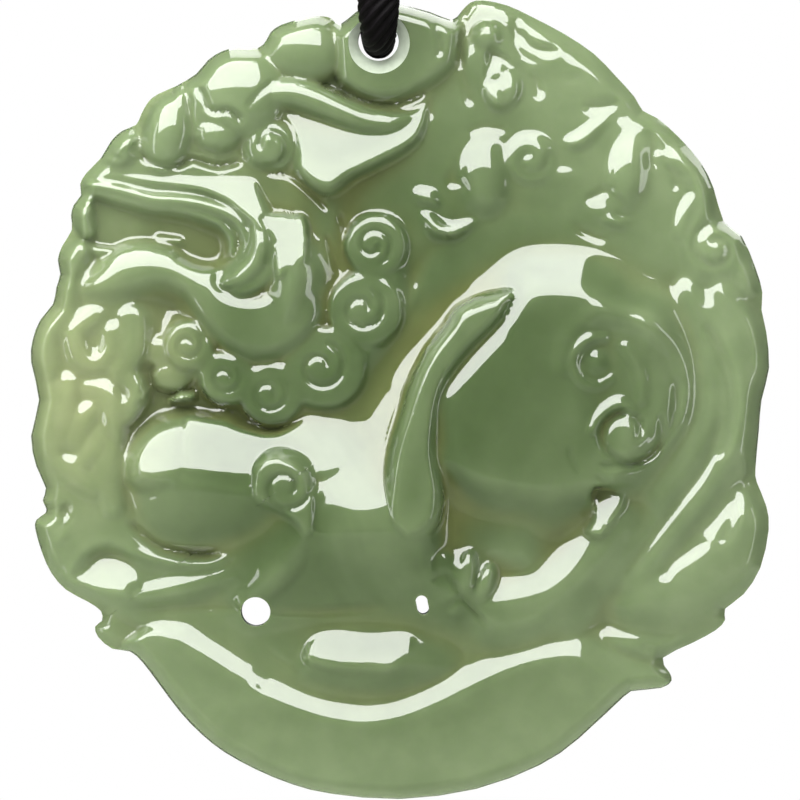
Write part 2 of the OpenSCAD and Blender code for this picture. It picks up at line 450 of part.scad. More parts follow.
// Smooth curves through a table's points, with n steps from each point to the next
function spline_at(a, b, c, d, t) =
    0.5 * (2 * b + (c - a) * t + (2 * a - 5 * b + 4 * c - d) * t * t + (3 * b - a - 3 * c + d) * t * t * t);
function closed_curve(p, n) = let (m = len(p)) [
    for (i = [0:m - 1], k = [0:n - 1])
        spline_at(p[(i + m - 1) % m], p[i], p[(i + 1) % m], p[(i + 2) % m], k / n)
];
function open_curve(p, n) = let (m = len(p)) concat([
    for (i = [0:m - 2], k = [0:n - 1])
        spline_at(p[max(i - 1, 0)], p[i], p[i + 1], p[min(i + 2, m - 1)], k / n)
], [p[m - 1]]);

// Lowest and highest corner of a curve, widened by pad
function reach(c, pad) = [
    [min([for (q = c) q.x]) - pad, min([for (q = c) q.y]) - pad],
    [max([for (q = c) q.x]) + pad, max([for (q = c) q.y]) + pad]
];
function within(p, box) = p.x > box[0].x && p.x < box[1].x && p.y > box[0].y && p.y < box[1].y;

// A form with its reach and its curve, each worked out once
function prepared(f) =
    f[KIND] == PLATE ? let (c = closed_curve(f[PLATE_EDGE], 3)) [f, reach(c, 0), c] :
    f[KIND] == DOME ? [f, reach([f[DOME_MIDDLE]], max(f[DOME_RADII])), []] :
    let (c = open_curve(f[ROLL_LINE], 3)) [f, reach(c, max([for (q = c) q[HALF_WIDTH]])), c];
ready = [for (f = forms) prepared(f)];

// How far along the span from a to b the point p lies, from 0 to 1
function span_share(p, a, b) = max(0, min(1, (p - a) * (b - a) / ((b - a) * (b - a))));

// Distance from a point to a closed curve, and whether the point lies inside it
function curve_gap(p, c) = sqrt(min([
    for (i = [0:len(c) - 1])
        let (a = c[i], b = c[(i + 1) % len(c)], g = p - a - span_share(p, a, b) * (b - a))
        g * g
]));
function encloses(c, p) = len([
    for (i = [0:len(c) - 1])
        let (a = c[i], b = c[(i + 1) % len(c)])
        if ((a.y > p.y) != (b.y > p.y) && p.x < (b.x - a.x) * (p.y - a.y) / (b.y - a.y) + a.x) 1
]) % 2 == 1;

// Share of a plate's rise at a share of the way up its shoulder
function section(kind, share) = let (x = min(1, share))
    kind == ROUND ? sqrt(1 - (1 - x) * (1 - x)) :
    kind == SMOOTH ? x * x * (3 - 2 * x) :
    kind == RAMP ? x : 1 - pow(1 - x, 1.5);
function leaned(lean, p) = is_list(lean) ? (p.x - lean[0]) * lean[2] + (p.y - lean[1]) * lean[3] : 0;
function joined(join, old, height, added) =
    join == RAISE ? max(old, height) : join == SET ? height : old + added;

// Height of the relief at a point once a form is carved over the old height
function plate_over(f, c, p, old) =
    let (s = section(f[PLATE_SECTION], curve_gap(p, c) / f[PLATE_SHOULDER]),
         lean = leaned(f[PLATE_LEAN], p))
    joined(f[JOIN], old, f[PLATE_FOOT] + f[PLATE_RISE] * s + lean, (f[PLATE_RISE] + lean) * s);
function dome_over(f, p, old) =
    let (e = p - f[DOME_MIDDLE], turn = f[DOME_TURN],
         x = (e.x * cos(turn) + e.y * sin(turn)) / f[DOME_RADII].x,
         y = (e.y * cos(turn) - e.x * sin(turn)) / f[DOME_RADII].y,
         s = 1 - x * x - y * y)
    s <= 0 ? old : joined(f[JOIN], old, f[DOME_FOOT] + f[DOME_RISE] * sqrt(s), f[DOME_RISE] * pow(s, 1.5));
function roll_over(f, c, p, old) =
    let (s = max([
        for (i = [0:len(c) - 2])
            let (a = [c[i].x, c[i].y], b = [c[i + 1].x, c[i + 1].y], t = span_share(p, a, b),
                 q = c[i] + t * (c[i + 1] - c[i]), g = norm(p - [q.x, q.y]) / q[HALF_WIDTH])
            g >= 1 ? 0 : q[LINE_RISE] * pow(1 - g * g, f[JOIN] == ADD ? 1.5 : 0.5)
    ]))
    s <= 0 ? old : joined(f[JOIN], old, f[ROLL_FOOT] + s, s);
function carved(r, p, old) =
    !within(p, r[1]) ? old :
    r[0][KIND] == DOME ? dome_over(r[0], p, old) :
    r[0][KIND] == ROLL ? roll_over(r[0], r[2], p, old) :
    encloses(r[2], p) ? plate_over(r[0], r[2], p, old) : old;
function relief(p, i = 0, h = ground) = i == len(ready) ? h : relief(p, i + 1, carved(ready[i], p, h));

// Height of the front over the middle plane, from the crown of the disc and the relief on
// it, and its share that is left at a distance from the rim, where the edge is rolled
function front_height(p) =
    let (crown = max(0, 1 - pow(p.x / table_w, 2) - pow(p.y / table_h, 2)))
    max(crown_foot + crown_rise * crown + relief(p), least_height * (1 + crown));
function rolled(gap) = 1 - pow(1 - min(1, gap / edge_w), 1.6);
// Height of the back over the middle plane, at a share of the way from the middle to the rim
function back_height(share) =
    back_rise * sqrt(1 - pow(share, back_power)) * (1 - back_crown * share * share);

// Point of the outline at a share of the way round. Each span of the curve counts as its
// length and a bonus, so short spans round the notches get more of the points.
rim_curve = closed_curve(outline, 2);
rim_spans = len(rim_curve);
span_bonus = 2;
function rim_corner(i) = rim_curve[i % rim_spans];
function rim_span(i) = span_bonus + norm(rim_corner(i + 1) - rim_corner(i));
rim_way = [for (i = 0, way = 0; i <= rim_spans; way = way + rim_span(i), i = i + 1) [way, i]];
function rim_at(share) =
    let (k = lookup(share * rim_way[rim_spans][0], rim_way), i = floor(k))
    rim_corner(i) + (k - i) * (rim_corner(i + 1) - rim_corner(i));

// The front is a fan of rings round the middle. Ring k has 6 k points at k shares of the way
// to the rim, and ring 0 is the middle.
rim_count = 6 * rings;
function ring_start(k) = k == 0 ? 0 : 1 + 3 * k * (k - 1);
function ring_point(k, j) = k == 0 ? 0 : ring_start(k) + (round(j) + 6 * k) % (6 * k);
front_spots = [
    for (k = [0:rings], j = [0:max(0, 6 * k - 1)])
        let (q = rim_at(k == 0 ? 0 : j / (6 * k)), p = q * k / rings) [p, rolled(norm(q - p)), k, j]
];

// Heights with each one drawn halfway to the mean of its four neighbours, as polishing
// softens a carved step
function polished(h) = [
    for (i = [0:len(h) - 1])
        let (k = front_spots[i][2], j = front_spots[i][3])
        k == 0 || k == rings ? h[i] :
        h[i] / 2 + (h[ring_point(k, j - 1)] + h[ring_point(k, j + 1)]
            + h[ring_point(k - 1, j * (k - 1) / k)] + h[ring_point(k + 1, j * (k + 1) / k)]) / 8
];
front_heights = polished(polished([for (spot = front_spots) front_height(spot[0]) * spot[1]]));
front_points = [
    for (i = [0:len(front_spots) - 1])
        let (p = front_spots[i][0]) [p.x * unit_x, -front_heights[i] * unit_y, p.y * unit_z]
];

// The back's rings leave the notches of the outline and turn into ovals
back_round = 0.2;
back_points = [
    for (share = back_rings, j = [0:rim_count - 1])
        let (q = rim_at(j / rim_count), oval = min(1, (1 - share) / back_round),
             p = q * share * (1 - oval + oval / norm([q.x / table_w, q.y / table_h])))
        [p.x * unit_x, back_height(share), p.y * unit_z]
];
front_faces = [
    for (k = [1:rings], s = [0:5], i = [0:k - 1])
        let (o = ring_start(k), n = ring_start(k - 1), m = max(1, 6 * (k - 1)),
             a = o + s * k + i, b = o + (s * k + i + 1) % (6 * k),
             c = n + (s * (k - 1) + i) % m, d = n + (s * (k - 1) + i + 1) % m)
        each (i < k - 1 ? [[c, a, b], [c, b, d]] : [[c, a, b]])
];
back_start = len(front_points);
// First point of back ring i, where ring 0 is the rim that the front ends in
function back_ring(i) = i == 0 ? ring_start(rings) : back_start + (i - 1) * rim_count;
back_faces = concat([
    for (i = [0:len(back_rings) - 1], j = [0:rim_count - 1])
        let (o = back_ring(i), n = back_ring(i + 1), k = (j + 1) % rim_count)
        each [[o + j, n + j, o + k], [n + j, n + k, o + k]]
], [
    for (j = [0:rim_count - 1])
        let (n = back_ring(len(back_rings)))
        [n + j, back_start + len(back_points), n + (j + 1) % rim_count]
]);

// A straight drilling through the disc, from the front to the back
module drilling(d, at) {
    translate([at.x, 0, at.y]) rotate([90, 0, 0])
        cylinder(h = 2 * (front_rise + back_rise), d = d, center = true, $fn = round_sides);
}

// Bevel round the front mouth of the cord hole, cut at 45 degrees into the boss
hole_at = [-hole_left, jade_h / 2 - hole_drop];
boss_y = front_height([hole_at.x / unit_x, hole_at.y / unit_z]) * unit_y;
module hole_bevel() {
    flare = 2 * hole_lip;
    translate([hole_at.x, -boss_y + hole_lip, hole_at.y]) rotate([90, 0, 0])
        cylinder(h = flare, d1 = hole_d, d2 = hole_d + 2 * flare, $fn = round_sides);
}

module carved_jade() {
    color("darkseagreen") translate([jade_x, 0, jade_z]) difference() {
        polyhedron(
            points = concat(front_points, back_points, [[0, back_height(0), 0]]),
            faces = concat(front_faces, back_faces), convexity = 12);
        drilling(hole_d, hole_at);
        hole_bevel();
        for (at = concat([piercing_at], slit_at))
            drilling(at == piercing_at ? piercing_d : slit_d, [at.x * unit_x, at.y * unit_z]);
    }
}

// Middle of the knot that joins the cord's two ends, on the leg behind the jade
knot_mid = [0, 5, -28];
knot_round = 1.2;
// Route of the cord's middle line, from the knot's top up round the hanging point,
// down in front of the jade, through its hole and back up to the knot's foot
cord_route = [
    knot_mid + [0, 0, knot_l / 2], [0, 5, -22], [0, 4.8, -16], [0, 4.3, -8], [0, 3.8, -2.5],
    [0, 2.7, 0.2], [0, 0, 1.3], [0, -2.7, 0.2], [0, -3.8, -2.5], [0, -4.1, -8], [0, -4.4, -16],
    [0, -4.6, -26], [0, -4.8, -36], [0, -4.8, -41], [0, -4.1, -43.1], [0, -2.4, -44], [0, 0, -44],
    [0, 2.2, -44], [0, 3.9, -43.1], [0, 4.7, -41], [0, 5, -37], knot_mid - [0, 0, knot_l / 2]
];
cord_sides = 8;
cord_line = open_curve(cord_route, 3);
cord_last = len(cord_line) - 1;
function unit(v) = v / norm(v);
function cord_way(i) = unit(cord_line[min(i + 1, cord_last)] - cord_line[max(i - 1, 0)]);
cord_points = [
    for (i = [0:cord_last], j = [0:cord_sides - 1])
        let (side = [1, 0, 0], up = cross(cord_way(i), side), a = 360 * (j + 0.5) / cord_sides)
        cord_line[i] + cord_d / 2 * (cos(a) * side + sin(a) * up)
];
cord_faces = concat(
    [[for (j = [0:cord_sides - 1]) j]],
    [for (i = [0:cord_last - 1], j = [0:cord_sides - 1])
        let (a = i * cord_sides, b = a + cord_sides, k = (j + 1) % cord_sides)
        each [[a + j, b + k, a + k], [a + j, b + j, b + k]]],
    [[for (j = [cord_sides - 1:-1:0]) cord_last * cord_sides + j]]
);

module cord() {
    color("black") polyhedron(points = cord_points, faces = cord_faces, convexity = 6);
}

// Barrel knot with rounded shoulders
module cord_knot() {
    shoulder = [knot_d / 2 - knot_round, knot_l / 2 - knot_round];
    color("black") translate(knot_mid) rotate_extrude($fn = round_sides) {
        translate([0, -knot_l / 2]) square([shoulder.x, knot_l]);
        translate([0, -shoulder.y]) square([knot_d / 2, 2 * shoulder.y]);
        for (side = [-1, 1])
            translate([shoulder.x, side * shoulder.y]) circle(r = knot_round, $fn = round_sides);
    }
}

carved_jade();
cord();
cord_knot();
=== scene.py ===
"""Carved jade pendant on a braided cord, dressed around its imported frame."""

import json
import math

import bmesh
import bpy
import numpy as np
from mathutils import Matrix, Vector


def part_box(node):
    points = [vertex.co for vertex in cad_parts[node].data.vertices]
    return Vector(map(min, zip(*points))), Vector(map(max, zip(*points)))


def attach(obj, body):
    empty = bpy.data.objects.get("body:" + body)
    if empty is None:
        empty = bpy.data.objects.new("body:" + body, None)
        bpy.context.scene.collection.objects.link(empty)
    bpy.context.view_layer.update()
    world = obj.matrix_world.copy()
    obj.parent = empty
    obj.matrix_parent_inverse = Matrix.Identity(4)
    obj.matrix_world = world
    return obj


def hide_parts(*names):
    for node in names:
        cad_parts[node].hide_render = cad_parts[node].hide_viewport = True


bl_info = {
    "name": "Carved jade pendant",
    "version": (1, 0, 0),
    "blender": (4, 5, 0),
    "location": "View3D > Sidebar > Pendant",
    "description": "A round jade carved in relief, hung on a black braided cord",
    "category": "Add Mesh",
}

MM = 0.001
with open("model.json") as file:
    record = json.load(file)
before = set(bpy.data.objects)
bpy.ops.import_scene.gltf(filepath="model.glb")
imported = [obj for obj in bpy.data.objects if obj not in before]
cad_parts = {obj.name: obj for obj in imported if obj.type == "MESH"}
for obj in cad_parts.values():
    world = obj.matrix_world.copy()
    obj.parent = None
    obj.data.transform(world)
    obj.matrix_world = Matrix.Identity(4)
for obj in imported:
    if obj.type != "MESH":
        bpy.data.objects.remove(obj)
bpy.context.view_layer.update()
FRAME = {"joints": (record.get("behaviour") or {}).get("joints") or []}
JADE_LOW, JADE_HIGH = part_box("carved_jade")
KNOT_LOW, KNOT_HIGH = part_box("cord_knot")
PIVOT = Vector(FRAME["joints"][0]["pos_m"])

# The relief's tables are drawn in hundredths of the disc's half height, from its middle
TABLE_W = 92.4
TABLE_H = 100.0
TABLE_RISE = 27.0
# Outline of the disc, clockwise from the cord hole: (across, up)
OUTLINE = [
    (-2, 99.3), (7.5, 97), (13, 95), (15.5, 97.3), (17.7, 99.4), (21, 99.9), (27, 98.6),
    (33, 95.8), (41, 91.6), (48.5, 86.6), (54, 81), (58.7, 75.8), (60.8, 72.3), (64.5, 70.4),
    (70, 65.5), (75.3, 59.3), (78.5, 53), (81, 44.7), (85.5, 41), (89, 33), (90.7, 27),
    (90.5, 22.5), (91.7, 17), (92.4, 8), (90.5, 0), (89.8, -8), (89, -17), (89.3, -20.5),
    (91.7, -26.5), (92.3, -32.5), (90.2, -42), (86, -48.6), (81.4, -52.2), (81.4, -55),
    (79, -57.6), (73.3, -60.7), (65.8, -64.5), (67.4, -68), (68, -70.2), (65.5, -72), (59, -72.7),
    (56, -74.2), (44.7, -84.7), (35, -91.3), (19, -97.3), (0, -99.8), (-17, -98.5),
    (-26.7, -96.2), (-36, -92.4), (-44, -88), (-49.7, -83.5), (-55, -78), (-60.5, -70.7),
    (-64.3, -65.7), (-67.5, -62.9), (-72, -62.2), (-75.5, -59.3), (-76.3, -56.7), (-74.6, -55.2),
    (-74.8, -52.8), (-78, -50.5), (-83.5, -47.5), (-87.2, -43.3), (-89.5, -38.3), (-91.2, -32.5),
    (-91, -30), (-88.6, -28.2), (-88.7, -26.6), (-89.4, -25), (-88.6, -22), (-91, -16.5),
    (-92.3, -9), (-90.3, 0), (-92.3, 9.5), (-91.9, 15), (-90, 20), (-86.8, 24), (-86, 28),
    (-85, 31.5), (-85.6, 35), (-84.5, 38.5), (-82.1, 42.5), (-82.3, 46), (-81.6, 48.8),
    (-79.8, 51.2), (-80, 54), (-78.5, 56.7), (-74.8, 60.5), (-72.3, 64.7), (-69.5, 67.3),
    (-66, 68.8), (-64.8, 71.3), (-63, 74.5), (-60.5, 76.5), (-56, 78.5), (-51, 81.5), (-48, 85),
    (-44.5, 87.2), (-41, 88), (-35.5, 88), (-33.4, 90), (-32.3, 92), (-29.7, 93.8), (-24, 95.5),
    (-20, 96), (-17, 95.4), (-14.8, 94), (-11, 97), (-7.5, 98.8),
]
# Height of the crown at the rim and its further rise in the middle; the deepest ground
# lies under the crown, and nothing is cut lower than the least height
CROWN_FOOT = 7.0
CROWN_RISE = 8.0
GROUND = -7.0
LEAST_HEIGHT = 3.0
# Width over which the front rolls off to the rim
EDGE_W = 3.8
# Share of the way out from which a point counts as on the rim, where the front has no height
AT_RIM = 0.9999
# Length counted on top of each span's own where the grid's edge is shared out along the rim
SPAN_BONUS = 2.0
# Power of its share by which a rounded form rises where it is added to what lies under it
ADDED_POWER = 1.5
# Room round the disc in the carved field, and round a plate's edge in its part of the field
FIELD_ROOM = 2
PLATE_ROOM = 0.5
# The least half width of a roll, where its rows run out to nothing
LEAST_WIDTH = 0.05
# Steps drawn from each row of a form's line, the rim and the cord's route to the next, and
# the points given for each turn of a spiral stroke
LINE_STEPS = 4
RIM_STEPS = 2
CORD_STEPS = 24
COIL_STEPS = 10
# Reach of the polish over the main forms, the chest locks, the carving and the crowned front
FORM_POLISH = 1.1
LOCK_POLISH = 0.6
CARVING_POLISH = 0.35
FRONT_POLISH = 0.3
# Reach of the blur that a place is compared with to see how hollow it is, which places the painted glow
# in hollows and on ridges
HOLLOW_REACH = 5
# Heights over the crown of the feet of the chest locks and of the mane curls
LOCK_FOOT = -0.9
CURL_FOOT = -0.4
# Mane curls from the brow down round the cheek: (middle, radius, start, turns, hand)
MANE_CURLS = (
    ((-6, 38.5), 7.8, 30, 1.3, -1),
    ((-8.6, 22.4), 9.4, -40, 1.3, 1),
    ((-18.8, 8), 10.4, -30, 1.3, 1),
    ((-32, 1.4), 8, -60, 1.3, 1),
    ((-43, 5.4), 7, -30, 1.2, 1),
    ((-52.4, 13.6), 6.4, -20, 1.2, 1),
)
# A mane curl's rise and the depth of its spiral, then shares of its radius: how far the
# spiral's middle is moved, its inner and outer radius, and its widths to the left and right
CURL_RISE = 1.3
CURL_DEPTH = 1.5
CURL_SHIFT = (-0.1, 0.02)
CURL_REACH = (0.14, 0.64)
CURL_WIDTHS = (0.1, 0.08)

# Shape of the plain back: its power keeps it full towards the rim, and it also falls off a
# little all the way
BACK_POWER = 6
BACK_FALL = 0.28
# Rings of the back as shares of the way out; they turn oval over this share from the rim
BACK_RINGS = (0.995, 0.98, 0.95, 0.9, 0.82, 0.7, 0.5, 0.25)
OVAL_OVER = 0.2
# The thickness that the finish takes for the back, in table units, which sets how much painted glow of
# light through thin stone it gets
BACK_THICKNESS = 9

# Places of the round piercing and of the slit's ends in the table
PIERCING_SPOT = (-36, -52.8)
SLIT_ENDS = ((5.4, -50.2), (5.8, -52))
# The cord hole's share of the way from the back's middle to the rim
HOLE_WAY_OUT = 0.89
# Depths in metres of the plain drills' ends in front of the jade and behind it, the sides of
# each drill, the fewest faces of a jade that was drilled well, and the angle of a sharp edge
DRILL_ENDS = (-0.012, 0.008)
DRILL_SIDES = 64
FEWEST_FACES = 1000
SHARP_ANGLE = math.radians(40)

# Yellow green skin on the chest: (middle, radii, share), and the most that it covers
SKIN_PATCHES = (((-80, 2), (15, 26), 1), ((-60, 12), (9, 14), 0.6))
SKIN_SHARE = 0.8

# Route of the cord's middle line in millimetres, as the frame's tube has it, with the
# cord's radius at each point: squeezed in the hole, in the top bend and in the knot
CORD_ROUTE = [
    (0, 5, -25.5, 1.2), (0, 5, -22, 1.5), (0, 4.8, -16, 1.55), (0, 4.3, -8, 1.5),
    (0, 3.8, -2.5, 1.4), (0, 2.7, 0.2, 1.35), (0, 0, 1.3, 1.35), (0, -2.7, 0.2, 1.35),
    (0, -3.8, -2.5, 1.4), (0, -4.1, -8, 1.5), (0, -4.4, -16, 1.55), (0, -4.6, -26, 1.6),
    (0, -4.8, -36, 1.6), (0, -4.8, -41, 1.6), (0, -4.1, -43.1, 1.4), (0, -2.4, -44, 1.22),
    (0, 0, -44, 1.2), (0, 2.2, -44, 1.22), (0, 3.9, -43.1, 1.4), (0, 4.7, -41, 1.5),
    (0, 5, -37, 1.5), (0, 5, -30.5, 1.2),
]
# Points round each ply, how deep the grooves between plies are as a share of the radius,
# and the length in metres that the strands' pattern is measured in
PLY_POINTS = 6
PLY_LOBE = 0.3
STRAND_UNIT = 3 * MM
# The knot's thin cord: its thickness as a share of a turn's height, its plies and twist,
# the points in a turn, and the share of the knot's radius at which its ends lie
KNOT_FILL = 0.52
KNOT_PLIES = 5
KNOT_TWIST = 0.005
KNOT_STEPS = 40
KNOT_START = 0.55

# How fine the strands are drawn in the plies of the cord and of the knot's thin cord
CORD_STRANDS = 6.0
KNOT_STRANDS = 5.0

# The camera's sensor in millimetres, then metres: the width it sees at the pendant, its
# distance, where its view starts, and how far under the pivot it looks
SENSOR = 36
VIEW_WIDTH = 0.06
VIEW_DISTANCE = 0.85
VIEW_START = 0.01
VIEW_DROP = 0.0269
# Lights by name: (width, height, offset from the jade's middle, point it faces, radiance)
LIGHTS = {
    "softbox": (0.81, 0.9, (-0.215, -0.13, 0.57), (-0.215, 0.677, -0.019), 8.9),
    "back_light": (0.8, 0.6, (0.25, 0.7, 0.5), (0, 0, 0), 2.0),
    "left_strip": (0.12, 0.8, (-0.75, -0.22, 0.05), (0, 0, 0), 4.0),
    "right_strip": (0.12, 0.8, (0.75, -0.22, 0.05), (0, 0, 0), 3.0),
}
# The room in reflections: its dark colour, the pale table low down and the heights between
# which one gives way to the other, then the dim light that the room gives all round
ROOM_DARK = (0.05, 0.06, 0.05)
TABLE_GLOW = (0.46, 0.54, 0.38)
TABLE_EDGE = (-0.36, -0.28)
ROOM_TINT = (0.9, 0.95, 1, 1)
ROOM_LIGHT = 0.35
FLOOR_HALF = 1.2
FLOOR_HEIGHT = -0.16

# Plain values of the finishes' shaders, by socket
JADE_BODY = {
    "IOR": 1.66,
    "Subsurface Weight": 0.35,
    "Subsurface Radius": (0.9, 1.2, 0.6),
    "Subsurface Scale": 0.0012,
}
CORD_WAX = {
    "Specular IOR Level": 0.06,
    "Sheen Weight": 0.006,
    "Sheen Roughness": 0.4,
    "Sheen Tint": (0.75, 0.68, 0.8, 1),
}
# Tints that the jade's flecks multiply its colour by, then the lighter grain of the ground
# bevel and the darker fibre of the floor's paper
FLECK_TINTS = ((0.93, 0.94, 0.92), (1.06, 1.05, 1.06))
BEVEL_GRAIN = (0.38, 0.43, 0.34)
PAPER_FIBRE = (0.8, 0.8, 0.79)

# Guards against a division by nothing and against ties between two spans of a line
TINY = 1e-12
TIE = 1e-9


def curve_through(points, steps, closed=False):
    """Smooth curve through rows of numbers, with so many steps from each row to the next."""
    rows = np.array(points, float)
    count = len(rows)
    share = np.arange(steps)[:, None] / steps
    line = []
    for i in range(count if closed else count - 1):
        near = np.arange(i - 1, i + 3)
        a, b, c, d = rows[near % count if closed else np.clip(near, 0, count - 1)]
        line.append(
            0.5
            * (
                2 * b
                + (c - a) * share
                + (2 * a - 5 * b + 4 * c - d) * share**2
                + (3 * b - a - 3 * c + d) * share**3
            )
        )
    line.append(rows[:1] if closed else rows[-1:])
    return np.vstack(line)


def ways_along(line, bonus=0):
    """Way to each point of a flat line from its start, with a bonus on each span."""
    return np.concatenate([[0], np.cumsum(bonus + np.hypot(*np.diff(line[:, :2], axis=0).T))])


def gap_to_line(u, v, line):
    """Distance of each point to a line, whether it lies on its left, and its share of the way."""
    ways = ways_along(line)
    best = np.full(u.shape, np.inf)
    left = np.zeros(u.shape, bool)
    way = np.zeros(u.shape)
    for i in range(len(line) - 1):
        ax, ay = line[i, :2]
        dx, dy = line[i + 1, :2] - line[i, :2]
        length = np.hypot(dx, dy)
        t = np.clip(((u - ax) * dx + (v - ay) * dy) / (length**2 + TINY), 0, 1)
        ex = u - ax - t * dx
        ey = v - ay - t * dy
        gap = ex * ex + ey * ey
        nearer = gap < best - TIE
        best = np.where(nearer, gap, best)
        left = np.where(nearer, dx * ey >= dy * ex, left)
        way = np.where(nearer, ways[i] + t * length, way)
    return np.sqrt(best), left, way / ways[-1]


def lies_inside(u, v, line):
    """Whether each point lies inside a closed line."""
    inside = np.zeros(u.shape, bool)
    for (ax, ay), (bx, by) in zip(line, line[1:]):
        if ay != by:
            inside ^= ((ay > v) != (by > v)) & (u < (bx - ax) * (v - ay) / (by - ay) + ax)
    return inside


def blurred(field, reach):
    """A field smoothed with a bell curve, whose reach is in cells and which ends at three of it."""
    half = math.ceil(3 * reach)
    bell = np.exp(-0.5 * (np.arange(-half, half + 1) / reach) ** 2)
    bell /= bell.sum()
    for axis in (0, 1):
        padded = np.pad(field, [(half, half) if k == axis else (0, 0) for k in (0, 1)], "edge")
        field = sum(
            share * np.take(padded, range(i, i + field.shape[axis]), axis) for i, share in enumerate(bell)
        )
    return field


# Sections of a shoulder: share of the rise at a share of the way in from the edge
SECTIONS = {
    "round": lambda x: np.sqrt(1 - (1 - x) ** 2),
    "smooth": lambda x: x * x * (3 - 2 * x),
    "ramp": lambda x: x,
    "crisp": lambda x: 1 - (1 - x) ** 1.5,
    "pillow": lambda x: 1 - (1 - x) ** 2.5,
}


class Relief:
    """Heights of the carving on a square field, carved one form over another."""

    def __init__(self, cell):
        self.cell = cell
        self.low = -TABLE_H - FIELD_ROOM
        spots = np.arange(self.low, -self.low + cell, cell)
        self.u, self.v = np.meshgrid(spots, spots)
        self.height = np.full(self.u.shape, GROUND)

    def window(self, line, room):
        """The part of the field that a line's box covers, with some room round it."""
        rows = [
            slice(
                max(0, int((line[:, k].min() - room - self.low) / self.cell)),
                int((line[:, k].max() + room - self.low) / self.cell) + 2,
            )
            for k in (1, 0)
        ]
        return tuple(rows)

    def join(self, spot, how, covered, height, added):
        """Puts a form on what lies under it: the higher of the two, in its place, or on top."""
        old = self.height[spot]
        new = {"raise": np.maximum(old, height), "set": height, "add": old + added}[how]
        self.height[spot] = np.where(covered, new, old)

    def swell(self, spot, how, share, foot, rise):
        """A rounded form, from the share that its squared radius leaves at each place."""
        top = np.clip(share, 0, 1)
        self.join(spot, how, share > 0, foot + rise * np.sqrt(top), rise * top**ADDED_POWER)

    def plate(
        self, edge, foot=0, rise=0, shoulder=1, lean=None, section="smooth", how="raise", top=math.inf
    ):
        """A form with a closed edge, a rising shoulder and a leaning face, level at the top."""
        line = curve_through(edge, LINE_STEPS, closed=True)
        spot = self.window(line, PLATE_ROOM)
        u, v = self.u[spot], self.v[spot]
        gap, _, _ = gap_to_line(u, v, line)
        share = SECTIONS[section](np.clip(gap / shoulder, 0, 1))
        tilt = 0
        if lean:
            tilt = (u - lean[0]) * lean[2] + (v - lean[1]) * lean[3]
        covered = lies_inside(u, v, line)
        height = np.minimum(foot + rise * share + tilt, top)
        self.join(spot, how, covered, height, (rise + tilt) * share)

    def facet(self, edge, foot, lean):
        """A flat leaning face, ground in place of what lies under it."""
        self.plate(edge, foot=foot, lean=lean, how="set")

    def dome(self, middle, radii, foot=0, rise=0, turn=0, how="raise"):
        """An oval bump."""
        spot = self.window(np.array([middle]), max(radii))
        du, dv = self.u[spot] - middle[0], self.v[spot] - middle[1]
        cos, sin = math.cos(math.radians(turn)), math.sin(math.radians(turn))
        share = 1 - ((du * cos + dv * sin) / radii[0]) ** 2 - ((dv * cos - du * sin) / radii[1]) ** 2
        self.swell(spot, how, share, foot, rise)

    def roll(self, rows, foot=0, how="raise"):
        """A ridge along an open line of (across, up, half width, rise)."""
        line = curve_through(rows, LINE_STEPS)
        spot = self.window(line, line[:, 2].max())
        gap, _, way = gap_to_line(self.u[spot], self.v[spot], line)
        ways = ways_along(line)
        width = np.maximum(np.interp(way, ways / ways[-1], line[:, 2]), LEAST_WIDTH)
        rise = np.interp(way, ways / ways[-1], line[:, 3])
        self.swell(spot, how, 1 - (gap / width) ** 2, foot, rise)

    def cut(self, points, depth, left, right, power=1.3, ends=0.12):
        """A stroke of the chisel, with its width to the left and right of its way."""
        line = curve_through(points, LINE_STEPS)
        spot = self.window(line, max(left, right))
        gap, on_left, way = gap_to_line(self.u[spot], self.v[spot], line)
        share = np.clip(1 - gap / np.where(on_left, left, right), 0, 1) ** power
        fade = np.clip(np.minimum(way, 1 - way) / ends, 0, 1)
        self.height[spot] -= depth * share * fade * (2 - fade)

    def coil(self, middle, radii, start, turns, depth, left, right, hand=1):
        """A spiral stroke of the chisel, from the inner to the outer radius."""
        count = int(turns * COIL_STEPS) + 2
        share = np.linspace(0, 1, count)
        radius = radii[0] + (radii[1] - radii[0]) * share
        angle = np.radians(start) + hand * math.tau * turns * share
        points = np.column_stack([middle[0] + radius * np.cos(angle), middle[1] + radius * np.sin(angle)])
        self.cut(points, depth, left, right, ends=0.1)

    def soften(self, reach):
        """Polishes the whole carving, with a reach in table units."""
        self.height = blurred(self.height, reach / self.cell)

    def at(self, u, v, field=None):
        """Heights between the field's cells, or another field's values."""
        field = self.height if field is None else field
        x = np.clip((u - self.low) / self.cell, 0, field.shape[1] - 2)
        y = np.clip((v - self.low) / self.cell, 0, field.shape[0] - 2)
        i, j = x.astype(int), y.astype(int)
        fx, fy = x - i, y - j
        below = field[j, i] * (1 - fx) + field[j, i + 1] * fx
        above = field[j + 1, i] * (1 - fx) + field[j + 1, i + 1] * fx
        return below * (1 - fy) + above * fy


# The carving, form by form. Edges and ways are lists of (across, up), heights are over the
# crown, and a lean is a spot on the face and its slopes across and up from there. A cut's
# numbers are its depth and its widths to the left and right of its way; a coil's are its
# radii, start, turns, depth and widths.


def carve_neck_ground(jade):
    """Plain ground between the mane and the right rim."""
    jade.plate([
        (-12, 80), (4, 84), (16, 88), (30, 86), (44, 80), (56, 74), (66, 68), (76, 55), (82, 44),
        (86, 36), (80, 26), (66, 28), (52, 38), (38, 44), (24, 44), (10, 36), (-4, 24), (-14, 40),
    ], foot=-6, rise=3.5, shoulder=8, section="round")


